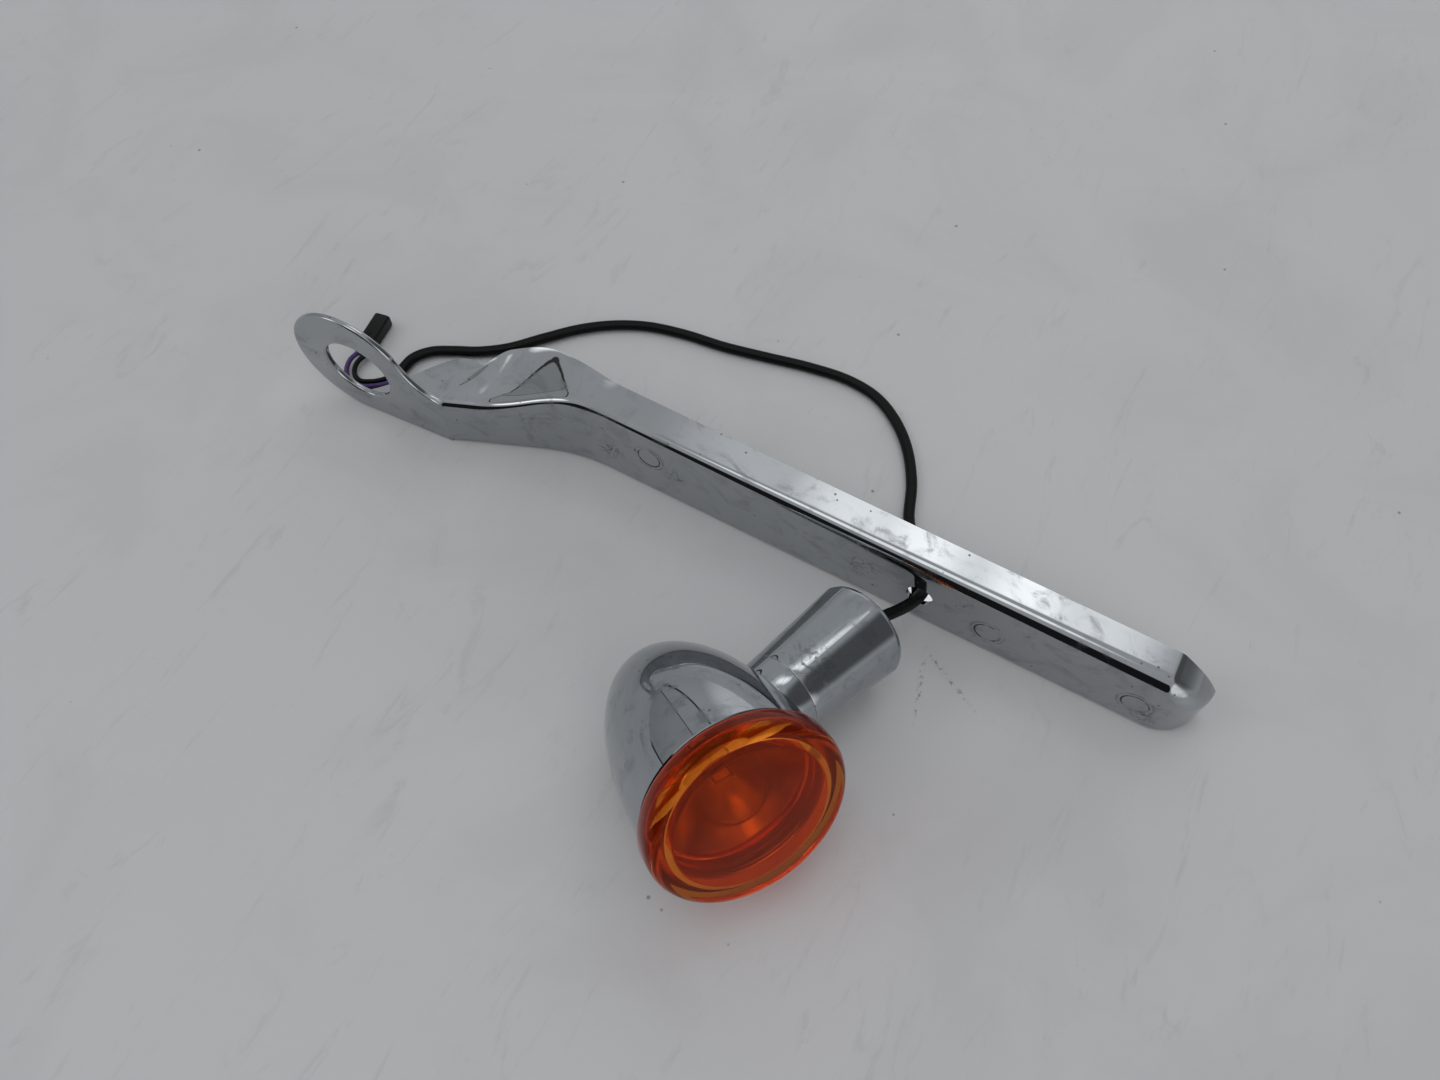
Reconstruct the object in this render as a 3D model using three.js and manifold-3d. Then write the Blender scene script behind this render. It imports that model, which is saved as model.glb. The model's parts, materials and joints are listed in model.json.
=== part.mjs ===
// A motorcycle turn signal set: a bullet lamp on a stem, its lead, and the chromed
// fender strut cover that the lead runs through. Millimetres, +Z up, X along the strut.
import * as THREE from 'three';
import { mergeVertices } from 'three/addons/utils/BufferGeometryUtils.js';
import Module from 'manifold-3d';

const wasm = await Module();
wasm.setup();

// Clearances.
const fitGap = 0.3;            // between pieces that touch on the real thing
const runGap = 0.4;            // between pieces that turn or slide on each other

// Strut cover: a pressed channel lying on its lower flange.
const wall = 1.6;
const straightStart = -88;     // the straight run goes from here to the nose crease
const noseStart = 128;
const noseLength = 15.5;
const noseDrop = 10;           // how far the top falls along the nose
const noseTuck = 4;            // and how much more near its tip
const flangeDepth = 15.6;
const heightAtSweep = 34.5;    // web height where the straight run starts
const heightAtNose = 30.5;
const heightAtTab = 24;
const cornerAtSweep = 3.2;     // outer radius of the top corner, growing to the nose
const cornerAtNose = 6;
const footCorner = 2.2;
const sweepRamp = 30;          // length over which the web turns forward
const sweepSlope = 0.42;
const tabStart = -151;         // the fold where the web becomes the tab
const flareStart = -118;       // the top flange widens and rises from here to the fold
const flareRise = 7;
const flareSpread = 2.9;        // how far its back edge leans out behind the flange
const flareHeel = 0.12;         // share of the flange that stays flat beside the corner
const flareBow = 1.15;
const flareFade = 44;
const flareClimb = 14;
const tabRadius = 26;
const tabThickness = 2.6;
const tabReach = 38.3;         // from the fold to the ring's centre
const tabYaw = 0.075;
const tabEdge = 0.7;
const tabHoleRadius = 14;
const tabHoleShift = -1.9;     // the hole's centre from the ring's, along the tab
const tabHoleHeight = 24.5;
const tabNeckTurn = 145;       // degrees, where the ring's rim runs into the neck
const leadHoleX = 42.3;
const leadHoleZ = 15.5;
const leadHoleRadius = 5;

// Weld studs on the back of the web.
const studPlaces = { left: [-69, 21], middle: [68.6, 12.8], right: [122, 12.8] };
const studBaseRadius = 5.5;
const studBaseHeight = 1.2;
const studRadius = 3;
const studLength = 11;

// Lamp: local Z is the way the lens faces, local X runs out along the stem.
const lampPlace = new THREE.Vector3(33.7, -107, 47.6);   // centre of the lens front
const lampHeading = -31.1;     // degrees, the lens's facing in plan
const lampRise = 26.5;         // degrees, the lens looks up by this
const stemRise = -3.2;         // degrees, the stem's climb about the lens axis
const stemSweep = 17.1;        // degrees, the stem leans back from square to the lens axis
const lensRadius = 32.6;
const lensDepth = 10.3;
const lensWall = 2.2;
const skirtDepth = 6;
const gasketThickness = 0.9;
const housingRadius = 30.9;
const housingLength = 69.6;
const housingPower = 2.2;      // fullness of the bullet's curve
const housingWall = 2.2;
const stemSetback = 31.2;      // where the stem's axis meets the lamp's, behind the lens front
const collarRadius = 15;
const collarProud = 2.6;       // the swivel face stands this far past the mouth's radius
const collarFace = housingRadius + collarProud;
const swivelPad = housingRadius - 6.7;
const swivelPadRadius = 8.6;
const stemLength = 39;
const stemEndRadius = 18.3;
const stemFloor = 4.5;
const stemWall = 3.3;
const spigotRadius = 5;
const spigotBore = 3.2;
const spigotHeadRadius = 7.5;
const spigotHead = 3.2;
const nutFlats = 14;
const nutHeight = 5;
const washerThickness = 1;
const insertLength = 13;
const insertSetback = 0.6;
const grommetFlange = 1.5;
const bulbRadius = 13.25;
const bulbTip = 6.6;           // behind the lens front
const bulbNeckRadius = 6.6;
const bulbGlassWall = 0.7;
const capRadius = 7.5;         // bayonet cap
const capFront = 35.8;
const capLength = 17.7;
const capWall = 0.5;
const pinDepth = 49;
const pinRadius = 0.9;
const socketWall = 0.9;
const socketFront = 37.6;
const bulbPush = 2;            // travel of the bulb against its spring
const bulbTurn = 20;           // degrees of bayonet turn
const contactRadius = 3;
const contactHeight = 1.5;
const carrierThickness = 2;
const springLength = 4.6;
const springWire = 0.35;
const reflectorWall = 0.8;
const reflectorMouth = 17.5;
const wireRadius = 0.9;

// Lead, its two wires and the connector.
const leadRadius = 2.2;
const tailRadius = 1;
const connectorLength = 20;
const connectorWidth = 7;
const connectorHeight = 6;
const connectorEdge = 0.6;
const connectorTurn = 11;      // degrees from +Y towards -X
const connectorPlace = new THREE.Vector3(-208.2, -4, 0.2);
const terminalSpacing = 3.6;
const terminalSize = 1.7;
const cavitySize = 2.4;
const cavityDepth = 13;

const radians = THREE.MathUtils.degToRad;
const clamp = THREE.MathUtils.clamp;
const smooth = (t) => THREE.MathUtils.smoothstep(t, 0, 1);

// Solids by manifold.

function solidOf(geometry) {
  const bare = geometry.clone();
  bare.deleteAttribute('normal');
  bare.deleteAttribute('uv');
  const welded = mergeVertices(bare, 1e-5);
  return new wasm.Manifold(new wasm.Mesh({
    numProp: 3,
    vertProperties: new Float32Array(welded.attributes.position.array),
    triVerts: new Uint32Array(welded.index.array),
  }));
}

function geometryOf(solid) {
  const mesh = solid.getMesh();
  const geometry = new THREE.BufferGeometry();
  geometry.setAttribute('position', new THREE.BufferAttribute(mesh.vertProperties, 3));
  geometry.setIndex(new THREE.BufferAttribute(mesh.triVerts, 1));
  geometry.computeVertexNormals();
  return geometry;
}

const joined = (...parts) => geometryOf(parts.map(solidOf).reduce((sum, part) => sum.add(part)));
const cut = (body, ...tools) =>
  geometryOf(tools.map(solidOf).reduce((rest, tool) => rest.subtract(tool), solidOf(body)));

// Basic shapes.

// A cylinder from z = from to z = to.
function rod(radius, from, to, sides = 40) {
  return new THREE.CylinderGeometry(radius, radius, to - from, sides)
    .rotateX(Math.PI / 2).translate(0, 0, (from + to) / 2);
}

// An outline of [radius, z] points turned about Z, taken in the order that faces out.
function turned(outline, sides = 48) {
  const points = outline.map(([radius, z]) => new THREE.Vector2(radius, z));
  if (THREE.ShapeUtils.area(points) < 0) points.reverse();
  return new THREE.LatheGeometry(points, sides).rotateX(Math.PI / 2);
}

// A closed ring of section: the outline's first point is repeated at its end.
const turnedRing = (outline, sides) => turned([...outline, outline[0]], sides);

function tube(points, radius, sides, steps) {
  const section = new THREE.Shape().absarc(0, 0, radius, 0, 2 * Math.PI);
  const path = new THREE.CatmullRomCurve3(points.map((p) => new THREE.Vector3(...p)));
  return new THREE.ExtrudeGeometry(section, {
    steps, curveSegments: Math.ceil(sides / 2), bevelEnabled: false, extrudePath: path,
  });
}

// Rings of equal length joined into a skin, with each end closed by a strip between
// the ring's outer half and its inner half, which mirror each other point for point.
function channelSkin(rings) {
  const count = rings[0].length;
  const half = count / 2;
  const positions = rings.flat(2);
  const index = [];
  const at = (ring, point) => ring * count + (point % count);
  for (let r = 0; r < rings.length - 1; r += 1) {
    for (let p = 0; p < count; p += 1) {
      index.push(at(r, p), at(r + 1, p + 1), at(r + 1, p));
      index.push(at(r, p), at(r, p + 1), at(r + 1, p + 1));
    }
  }
  const last = rings.length - 1;
  for (let p = 0; p < half - 1; p += 1) {
    const inner = count - 1 - p;
    index.push(at(0, p), at(0, inner - 1), at(0, p + 1), at(0, p), at(0, inner), at(0, inner - 1));
    index.push(at(last, p), at(last, p + 1), at(last, inner - 1));
    index.push(at(last, p), at(last, inner - 1), at(last, inner));
  }
  const geometry = new THREE.BufferGeometry();
  geometry.setAttribute('position', new THREE.Float32BufferAttribute(positions, 3));
  geometry.setIndex(index);
  return geometry;
}

// Strut cover.

// Y of the web's outer face: straight, then a ramp that turns it forward to the tab.
function webFace(x) {
  const past = straightStart - x;
  if (past <= 0) return 0;
  const ramp = Math.min(past, sweepRamp);
  return -sweepSlope * (ramp * ramp / (2 * sweepRamp) + (past - ramp));
}

// Height of the web, its top corner's radius, and the top flange's back edge and rise.
function webHeight(x) {
  if (x >= straightStart) {
    const along = (x - straightStart) / (noseStart - straightStart);
    return THREE.MathUtils.lerp(heightAtSweep, heightAtNose, along);
  }
  return THREE.MathUtils.lerp(heightAtTab, heightAtSweep, smooth((x - tabStart - 12) / 40));
}

function topCorner(x) {
  const along = clamp((x - straightStart) / (noseStart - straightStart), 0, 1);
  return THREE.MathUtils.lerp(cornerAtSweep, cornerAtNose, along);
}

function flareShare(x) {
  return smooth((x - tabStart) / flareClimb) * smooth((straightStart - x) / flareFade);
}

function topFlangeBack(x) {
  const spread = flareSpread * flareShare(x);
  if (x >= flareStart) return flangeDepth + spread;
  const share = clamp((flareStart - x) / (flareStart - tabStart), 0, 1);
  const fold = webFace(tabStart);
  return fold + (flangeDepth - fold) * Math.sqrt(1 - share * share) + spread;
}

// One section of the channel: the outer contour from the top flange's back edge round
// to the bottom flange's, then the inner contour back, point for point.
function channelRing({ outerX, innerX, face, innerFace, height, corner, back, rise }) {
  const flangeSteps = 6;
  const cornerSteps = 6;
  const footSteps = 3;
  const contour = (x, front, top, radius, foot, floor) => {
    const points = [];
    const edge = Math.max(back, front + radius + 0.3);
    for (let k = 0; k < flangeSteps; k += 1) {
      const share = 1 - k / flangeSteps;
      const lift = Math.max(0, (share - flareHeel) / (1 - flareHeel)) ** flareBow;
      points.push([x, front + radius + share * (edge - front - radius), top + rise * lift]);
    }
    for (let k = 0; k <= cornerSteps; k += 1) {
      const turn = Math.PI / 2 * (1 + k / cornerSteps);
      const y = front + radius + radius * Math.cos(turn);
      points.push([x, y, top - radius + radius * Math.sin(turn)]);
    }
    for (let k = 0; k <= footSteps; k += 1) {
      const turn = Math.PI * (1 + k / footSteps / 2);
      const y = front + foot + foot * Math.cos(turn);
      points.push([x, y, floor + foot + foot * Math.sin(turn)]);
    }
    points.push([x, flangeDepth, floor]);
    return points;
  };
  const innerCorner = Math.max(corner - wall, 0.5);
  const innerFoot = Math.max(footCorner - wall, 0.5);
  const outer = contour(outerX, face, height, corner, footCorner, 0);
  const inner = contour(innerX, innerFace, height - wall, innerCorner, innerFoot, wall);
  return [...outer, ...inner.reverse()];
}

// The nose turns round to the back edge on a quarter ellipse while its top falls.
function noseRing(turn) {
  const radius = Math.min(cornerAtNose, (flangeDepth * Math.cos(turn)) * 0.45);
  const outerX = noseStart + noseLength * Math.sin(turn);
  return channelRing({
    outerX,
    innerX: noseStart + (noseLength - wall) * Math.sin(turn),
    face: flangeDepth * (1 - Math.cos(turn)),
    innerFace: wall + (flangeDepth - wall) * (1 - Math.cos(turn)),
    height: heightAtNose - noseDrop * Math.sin(turn) - noseTuck * Math.sin(turn) ** 4,
    corner: radius,
    back: flangeDepth,
    rise: 0,
  });
}

function channelAt(x) {
  return channelRing({
    outerX: x,
    innerX: x,
    face: webFace(x),
    innerFace: webFace(x) + wall,
    height: webHeight(x),
    corner: topCorner(x),
    back: topFlangeBack(x),
    rise: flareRise * flareShare(x),
  });
}

function channel() {
  const rings = [];
  const flareSteps = 16;
  for (let k = 0; k < flareSteps; k += 1) {
    const turn = Math.PI / 2 * (1 - k / flareSteps);
    rings.push(channelAt(flareStart - (flareStart - tabStart) * Math.sin(turn)));
  }
  const rampSteps = 8;
  for (let k = 0; k < rampSteps; k += 1) {
    rings.push(channelAt(THREE.MathUtils.lerp(flareStart, straightStart, k / rampSteps)));
  }
  const straightSteps = 6;
  for (let k = 0; k < straightSteps; k += 1) {
    rings.push(channelAt(THREE.MathUtils.lerp(straightStart, noseStart, k / straightSteps)));
  }
  const noseSteps = 9;
  const noseEnd = radians(80);
  for (let k = 0; k <= noseSteps; k += 1) rings.push(noseRing(noseEnd * k / noseSteps));
  return channelSkin(rings);
}

// The ring tab, drawn flat with X leftward from the fold and Y upward, then stood up. A
// hollow neck joins the ring's rim to the web's top edge.
function tabPlate() {
  const root = 1.2;
  const rim = tabRadius - tabEdge;
  const neckTurn = radians(tabNeckTurn);
  const neckTop = heightAtTab - tabEdge;
  const neckX = tabReach + rim * Math.cos(neckTurn);
  const neckY = tabRadius + rim * Math.sin(neckTurn);
  const reach = (neckY - neckTop) / Math.tan(neckTurn - Math.PI / 2);
  const outline = new THREE.Shape();
  outline.moveTo(-root, tabEdge);
  outline.lineTo(tabReach, tabEdge);
  outline.absarc(tabReach, tabRadius, rim, -Math.PI / 2, neckTurn, false);
  outline.quadraticCurveTo(neckX - reach * 0.55, neckTop + 1.2, -root, neckTop);
  const hole = new THREE.Path();
  hole.absarc(tabReach + tabHoleShift, tabHoleHeight, tabHoleRadius + tabEdge, 0, 2 * Math.PI);
  outline.holes.push(hole);
  const plate = new THREE.ExtrudeGeometry(outline, {
    depth: tabThickness - 2 * tabEdge,
    curveSegments: 28,
    bevelSize: tabEdge,
    bevelThickness: tabEdge,
    bevelSegments: 2,
  });
  return plate.translate(0, 0, tabEdge).rotateX(Math.PI / 2).rotateZ(Math.PI + tabYaw)
    .translate(tabStart, webFace(tabStart), 0);
}

// The lower flange's spread behind the tab, out to under the ring's centre.
function footPlate() {
  const ringX = tabStart - tabReach;
  const ringY = webFace(tabStart) - tabYaw * tabReach;
  const rear = flangeDepth + 1.4;
  const frontAt = (x) => webFace(x) + footCorner;
  const outline = new THREE.Shape();
  outline.moveTo(straightStart, frontAt(straightStart));
  outline.lineTo(straightStart - sweepRamp, frontAt(straightStart - sweepRamp));
  outline.lineTo(tabStart, frontAt(tabStart) - 0.8);
  outline.lineTo(ringX, ringY + 1);
  outline.lineTo(ringX - 6.5, ringY + 4.6);
  outline.quadraticCurveTo(ringX - 2, ringY + 8.5, ringX + 0.1, ringY + 12.2);
  outline.lineTo(ringX + 12.9, flangeDepth - 5.2);
  outline.quadraticCurveTo(ringX + 17, rear, ringX + 24.5, rear);
  outline.quadraticCurveTo((ringX + flareStart) / 2 + 13, rear, flareStart, flangeDepth);
  outline.lineTo(straightStart, flangeDepth);
  return new THREE.ExtrudeGeometry(outline, { depth: wall, curveSegments: 8, bevelEnabled: false });
}

function strutCover() {
  const leadHole = rod(leadHoleRadius, -4, 4).rotateX(Math.PI / 2).translate(leadHoleX, 0, leadHoleZ);
  return cut(joined(channel(), footPlate(), tabPlate()), leadHole);
}

function weldStud([x, z]) {
  const foot = wall + fitGap;
  const tip = foot + studLength;
  const base = foot + studBaseHeight;
  const outline = [
    [0, foot], [studBaseRadius, foot], [studBaseRadius, base - 0.4], [studBaseRadius - 1.2, base],
    [studRadius, base], [studRadius, tip - 0.8], [studRadius - 0.8, tip], [0, tip],
  ];
  return turned(outline, 32).rotateX(-Math.PI / 2).translate(x, 0, z);
}

// Lamp.

// The bullet's curve: radius at a distance behind its mouth.
const bulletRadius = (behind, mouth, length) =>
  mouth * Math.sqrt(Math.max(0, 1 - (behind / length) ** housingPower));

const mouthZ = -(lensDepth + gasketThickness + 2 * fitGap);
const skirtRadius = housingRadius - housingWall - fitGap;

// Outline of a bullet from its mouth round to the axis.
function bulletCurve(mouth, length, steps) {
  const points = [];
  for (let k = 0; k <= steps; k += 1) {
    const behind = length * (1 - (1 - k / steps) ** 2);
    points.push([bulletRadius(behind, mouth, length), mouthZ - behind]);
  }
  points[steps][0] = 0;
  return points;
}

// Turns a shape made about Z so that it runs out along the stem.
const alongStem = (geometry) =>
  geometry.rotateY(Math.PI / 2 + radians(stemSweep)).translate(0, 0, -stemSetback);

// A point on the stem's axis, or y to one side of it.
const onStem = (along, y) => [
  along * Math.cos(radians(stemSweep)), y, -stemSetback - along * Math.sin(radians(stemSweep)),
];

function housing() {
  const outer = turned([[0, mouthZ], ...bulletCurve(housingRadius, housingLength, 15)], 52);
  const cavityCurve = bulletCurve(housingRadius - housingWall, housingLength - housingWall, 13);
  const cavity = turned([[0, mouthZ + 1], [cavityCurve[0][0], mouthZ + 1], ...cavityCurve], 52);
  const collar = alongStem(rod(collarRadius, 18, collarFace, 44));
  const pad = alongStem(rod(swivelPadRadius, swivelPad, collarFace - 1, 32));
  const bore = alongStem(rod(spigotRadius + runGap, swivelPad - 2, collarFace + 2, 32));
  return cut(joined(cut(joined(outer, collar), cavity), pad), bore);
}

function lens() {
  const back = -lensDepth;
  const shoulder = lensRadius - 3.4;
  const innerTop = -lensWall;
  const skirtInner = skirtRadius - lensWall;
  const rounding = new THREE.EllipseCurve(shoulder, -5.4, 3.4, 4.6, Math.PI / 2, 0, true).getPoints(6);
  const steps = 3;
  const ribs = [];
  for (let k = 0; k < steps; k += 1) {
    const radius = skirtInner - 0.7 * (steps - 1 - k);
    const level = back - skirtDepth + 1.6 + 2.9 * k;
    ribs.push([radius, level - 1.5], [radius, level], [radius + 0.7, level + 0.4]);
  }
  const outline = [
    [0, 0], [shoulder - 3, -0.5], ...rounding.map((p) => [p.x, p.y]),
    [lensRadius, back + 1.2], [lensRadius - 0.7, back], [skirtRadius, back],
    [skirtRadius, back - skirtDepth + 0.5], [skirtRadius - 0.5, back - skirtDepth],
    [skirtInner - 1.4, back - skirtDepth], ...ribs, [skirtInner + 0.7, innerTop - 2.6],
    [skirtInner - 1.3, innerTop - 0.6], [0, innerTop],
  ];
  return turned(outline, 52);
}

function lensGasket() {
  const front = -lensDepth - fitGap;
  const back = front - gasketThickness;
  const inner = skirtRadius + fitGap + 0.1;
  const outer = housingRadius - 0.7;
  return turnedRing([[inner, front], [inner, back], [outer, back], [outer + 0.25, (front + back) / 2],
    [outer, front]], 44);
}

// A bowl whose radius squared grows evenly from the socket to its rim.
function reflector() {
  const neck = capRadius + socketWall + 2 * fitGap + 0.6;
  const rim = skirtRadius - 2.6;
  const depth = socketFront - reflectorMouth;
  const bowl = (offset) => {
    const points = [];
    for (let k = 0; k <= 9; k += 1) {
      const share = k / 9;
      const radius = Math.sqrt(neck * neck + (rim * rim - neck * neck) * share);
      points.push([radius + offset, -socketFront + depth * share]);
    }
    return points;
  };
  const edge = skirtRadius - 0.4;
  const outline = [...bowl(0), [edge, -reflectorMouth], [edge, -reflectorMouth - reflectorWall],
    ...bowl(reflectorWall).reverse().slice(1)];
  return turnedRing(outline, 44);
}

const capBack = -(capFront + capLength);
const contactTip = capBack - contactHeight;
const carrierFront = contactTip - fitGap - 0.7;
const carrierBack = carrierFront - carrierThickness;
const springFront = carrierBack - fitGap;
const socketFloor = springFront - springLength - bulbPush - fitGap;
const socketInner = capRadius + runGap;
const socketOuter = socketInner + socketWall;

// A block of the socket's wall between two angles and two levels, to be cut away.
function socketWindow(fromTurn, toTurn, fromZ, toZ) {
  const sector = new THREE.Shape();
  sector.absarc(0, 0, socketOuter + 1, radians(fromTurn), radians(toTurn), false);
  sector.absarc(0, 0, socketInner - 1, radians(toTurn), radians(fromTurn), true);
  return new THREE.ExtrudeGeometry(sector, { depth: toZ - fromZ, curveSegments: 6, bevelEnabled: false })
    .translate(0, 0, fromZ);
}

function socketShell() {
  const front = -socketFront - fitGap;
  const back = socketFloor - socketWall;
  const shell = turnedRing([
    [socketOuter, front], [socketInner, front], [socketInner, socketFloor], [3.2, socketFloor],
    [3.2, back], [socketOuter, back],
  ], 48);
  const half = (Math.asin(pinRadius / capRadius) * 180 / Math.PI) + 4;
  const low = -pinDepth - pinRadius - bulbPush - runGap;
  const high = -pinDepth + pinRadius + runGap;
  const windows = [90, 270].flatMap((side) => [
    socketWindow(side - half, side + bulbTurn + half, low, high),
    socketWindow(side + bulbTurn - half, side + bulbTurn + half, low, front + 1),
  ]);
  return cut(shell, ...windows);
}

function contactCarrier() {
  return turnedRing([[2.1, carrierFront], [2.1, carrierBack], [capRadius - 0.2, carrierBack],
    [capRadius - 0.2, carrierFront]], 40);
}

function contactPlunger() {
  const front = contactTip - fitGap;
  return turned([[0, front], [2.6, front], [2.6, carrierFront + fitGap], [1.7, carrierFront + fitGap],
    [1.7, springFront - 1.6], [0, springFront - 1.6]], 32);
}

function contactSpring() {
  const turns = 3;
  const radius = 4.6;
  const points = [];
  const count = 12 * turns;
  for (let k = 0; k <= count; k += 1) {
    const angle = 2 * Math.PI * turns * k / count;
    const level = springFront - springWire - (springLength - 2 * springWire) * k / count;
    points.push([radius * Math.cos(angle), radius * Math.sin(angle), level]);
  }
  return tube(points, springWire, 6, count);
}

function bulbGlass() {
  const centre = -(bulbTip + bulbRadius);
  const neckTurn = Math.asin(bulbNeckRadius / bulbRadius);
  const arc = (radius, neck) => {
    const end = Math.PI - Math.asin(neck / radius);
    const points = [];
    for (let k = 0; k <= 11; k += 1) {
      const angle = end * k / 11;
      points.push([radius * Math.sin(angle), centre + radius * Math.cos(angle)]);
    }
    return points;
  };
  const neckEnd = -(capFront + 5);
  const inner = arc(bulbRadius - bulbGlassWall, bulbNeckRadius - bulbGlassWall);
  const shoulder = centre - bulbRadius * Math.cos(neckTurn);
  const outline = [...arc(bulbRadius, bulbNeckRadius), [bulbNeckRadius, Math.min(shoulder, neckEnd + 1)],
    [bulbNeckRadius, neckEnd], [bulbNeckRadius - bulbGlassWall, neckEnd], ...inner.reverse()];
  return turned(outline, 36);
}

function bulbCap() {
  const front = -capFront;
  const inner = capRadius - capWall;
  const cup = turnedRing([
    [capRadius, front], [inner, front], [inner, capBack + capWall], [4, capBack + capWall],
    [4, capBack], [capRadius - 0.6, capBack], [capRadius, capBack + 0.6],
  ], 48);
  const pin = (side) => rod(pinRadius, inner + 0.1, capRadius + 1.4, 20)
    .rotateX(side * Math.PI / 2).translate(0, 0, -pinDepth);
  return joined(cup, pin(1), pin(-1));
}

function bulbContact() {
  return turned([[0, capBack + 1.5], [3.6, capBack + 1.5], [3.6, capBack], [contactRadius, capBack - 0.4],
    [contactRadius - 1, contactTip], [0, contactTip]], 32);
}

// The glass bead, the two posts and the filament between their tips, as one piece.
function bulbFilament() {
  const postGap = 3;
  const postFoot = -(capFront + 9);
  const postTop = -(bulbTip + bulbRadius + 1.5);
  const post = (x) => rod(0.35, postFoot, postTop, 10).translate(x, 0, 0);
  const bead = rod(3.9, postFoot - 2, postFoot + 5, 28);
  const coil = [];
  const turns = 7;
  const count = 8 * turns;
  for (let k = 0; k <= count; k += 1) {
    const angle = 2 * Math.PI * turns * k / count;
    const along = THREE.MathUtils.lerp(-postGap, postGap, k / count);
    coil.push([along, 0.55 * Math.cos(angle), postTop - 0.3 + 0.55 * Math.sin(angle)]);
  }
  return joined(bead, post(-postGap), post(postGap), tube(coil, 0.16, 4, count));
}

// Stem.

const stemBase = collarFace + fitGap;
const stemEnd = stemBase + stemLength;

function stem() {
  const pocket = stemBase + stemFloor;
  const seat = stemEnd - insertLength - insertSetback - fitGap;
  const endInner = stemEndRadius - stemWall - 2.4;
  const slope = (stemEndRadius - collarRadius) / stemLength;
  const edge = stemEndRadius - slope * 0.5;
  const outline = [
    [spigotRadius + runGap, stemBase], [collarRadius - 0.5, stemBase], [collarRadius, stemBase + 0.5],
    [edge, stemEnd - 1.4], [edge - 0.4, stemEnd - 0.4], [edge - 1.4, stemEnd],
    [endInner, stemEnd], [endInner, seat], [collarRadius - stemWall, seat - 3],
    [collarRadius - stemWall, pocket], [spigotRadius + runGap, pocket],
  ];
  return alongStem(turnedRing(outline, 48));
}

const spigotBack = swivelPad - fitGap;
const washerFrom = stemBase + stemFloor + fitGap;
const nutFrom = washerFrom + washerThickness + fitGap;
const nutTo = nutFrom + nutHeight;

function swivelSpigot() {
  const head = spigotBack - spigotHead;
  const tip = nutTo + 2;
  return alongStem(turnedRing([
    [spigotBore, head], [spigotHeadRadius - 0.6, head], [spigotHeadRadius, head + 0.6],
    [spigotHeadRadius, spigotBack], [spigotRadius, spigotBack], [spigotRadius, tip - 0.6],
    [spigotRadius - 0.6, tip], [spigotBore, tip],
  ], 40));
}

function swivelWasher() {
  const outer = nutFlats / 2 + 2;
  return alongStem(turnedRing([[spigotRadius + runGap, washerFrom], [outer, washerFrom],
    [outer, washerFrom + washerThickness], [spigotRadius + runGap, washerFrom + washerThickness]], 40));
}

function swivelNut() {
  const hexagon = new THREE.CylinderGeometry(nutFlats / Math.sqrt(3), nutFlats / Math.sqrt(3), nutHeight, 6)
    .rotateX(Math.PI / 2).translate(0, 0, (nutFrom + nutTo) / 2);
  return alongStem(cut(hexagon, rod(spigotRadius + fitGap, nutFrom - 1, nutTo + 1)));
}

const insertTo = stemEnd - insertSetback;
const grommetRadius = 4.4;

function mountInsert() {
  const outer = stemEndRadius - stemWall - 2.4 - fitGap;
  const from = insertTo - insertLength;
  return alongStem(turnedRing([
    [grommetRadius + fitGap, from], [outer - 0.5, from], [outer, from + 0.5], [outer, insertTo - 0.5],
    [outer - 0.5, insertTo], [grommetRadius + fitGap, insertTo],
  ], 40));
}

const grommetFrom = insertTo + fitGap;
const grommetBack = insertTo - 7;

function leadGrommet() {
  const bore = leadRadius + fitGap;
  return alongStem(turnedRing([
    [bore, grommetBack], [grommetRadius, grommetBack], [grommetRadius, grommetFrom],
    [grommetRadius + 1.8, grommetFrom], [grommetRadius + 1.8, grommetFrom + grommetFlange - 0.5],
    [grommetRadius + 1.2, grommetFrom + grommetFlange], [bore, grommetFrom + grommetFlange],
  ], 36));
}

// The two wires from the socket's tail into the spigot's bore, one on each side of it.
function headWire(side) {
  const y = side * (wireRadius + 0.25);
  const tail = socketFloor - socketWall - 0.6;
  const bend = spigotBack - spigotHead;
  const level = onStem(bend, y)[2];
  const points = [
    [0.2, y, tail], [1.2, y, tail - 2.6], [5, y, tail - 4.2], [9.6, y, tail - 2.2],
    [12.4, y, tail + 3.5], [13.2, y, tail + 11], [13.3, y, level - 10], [14.3, y, level - 4],
    onStem(bend - 1.4, y), onStem(bend + 1, y), onStem(bend + 5, y), onStem(stemBase + 1, y),
  ];
  return tube(points, wireRadius, 8, 30);
}

function stemWire(side) {
  const y = side * (wireRadius + 0.25);
  const from = stemBase + 1 + fitGap;
  const to = grommetBack + 1.5;
  return alongStem(rod(wireRadius, from, to, 12).translate(0, y, 0));
}

// Lead and connector.

// The lead's centre line, from the stem's end through the cover's hole.
const leadInFront = [
  [29.3, -28.8, 21.5], [30.2, -25.9, 21], [31.3, -22.4, 20.4], [33.4, -17.4, 19.1],
  [36.1, -12.8, 17.5], [38.8, -8.2, 16.3], [41, -4, 15.8], [42.4, 0.7, 15.2], [42.2, 6.4, 13.3],
];

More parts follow.
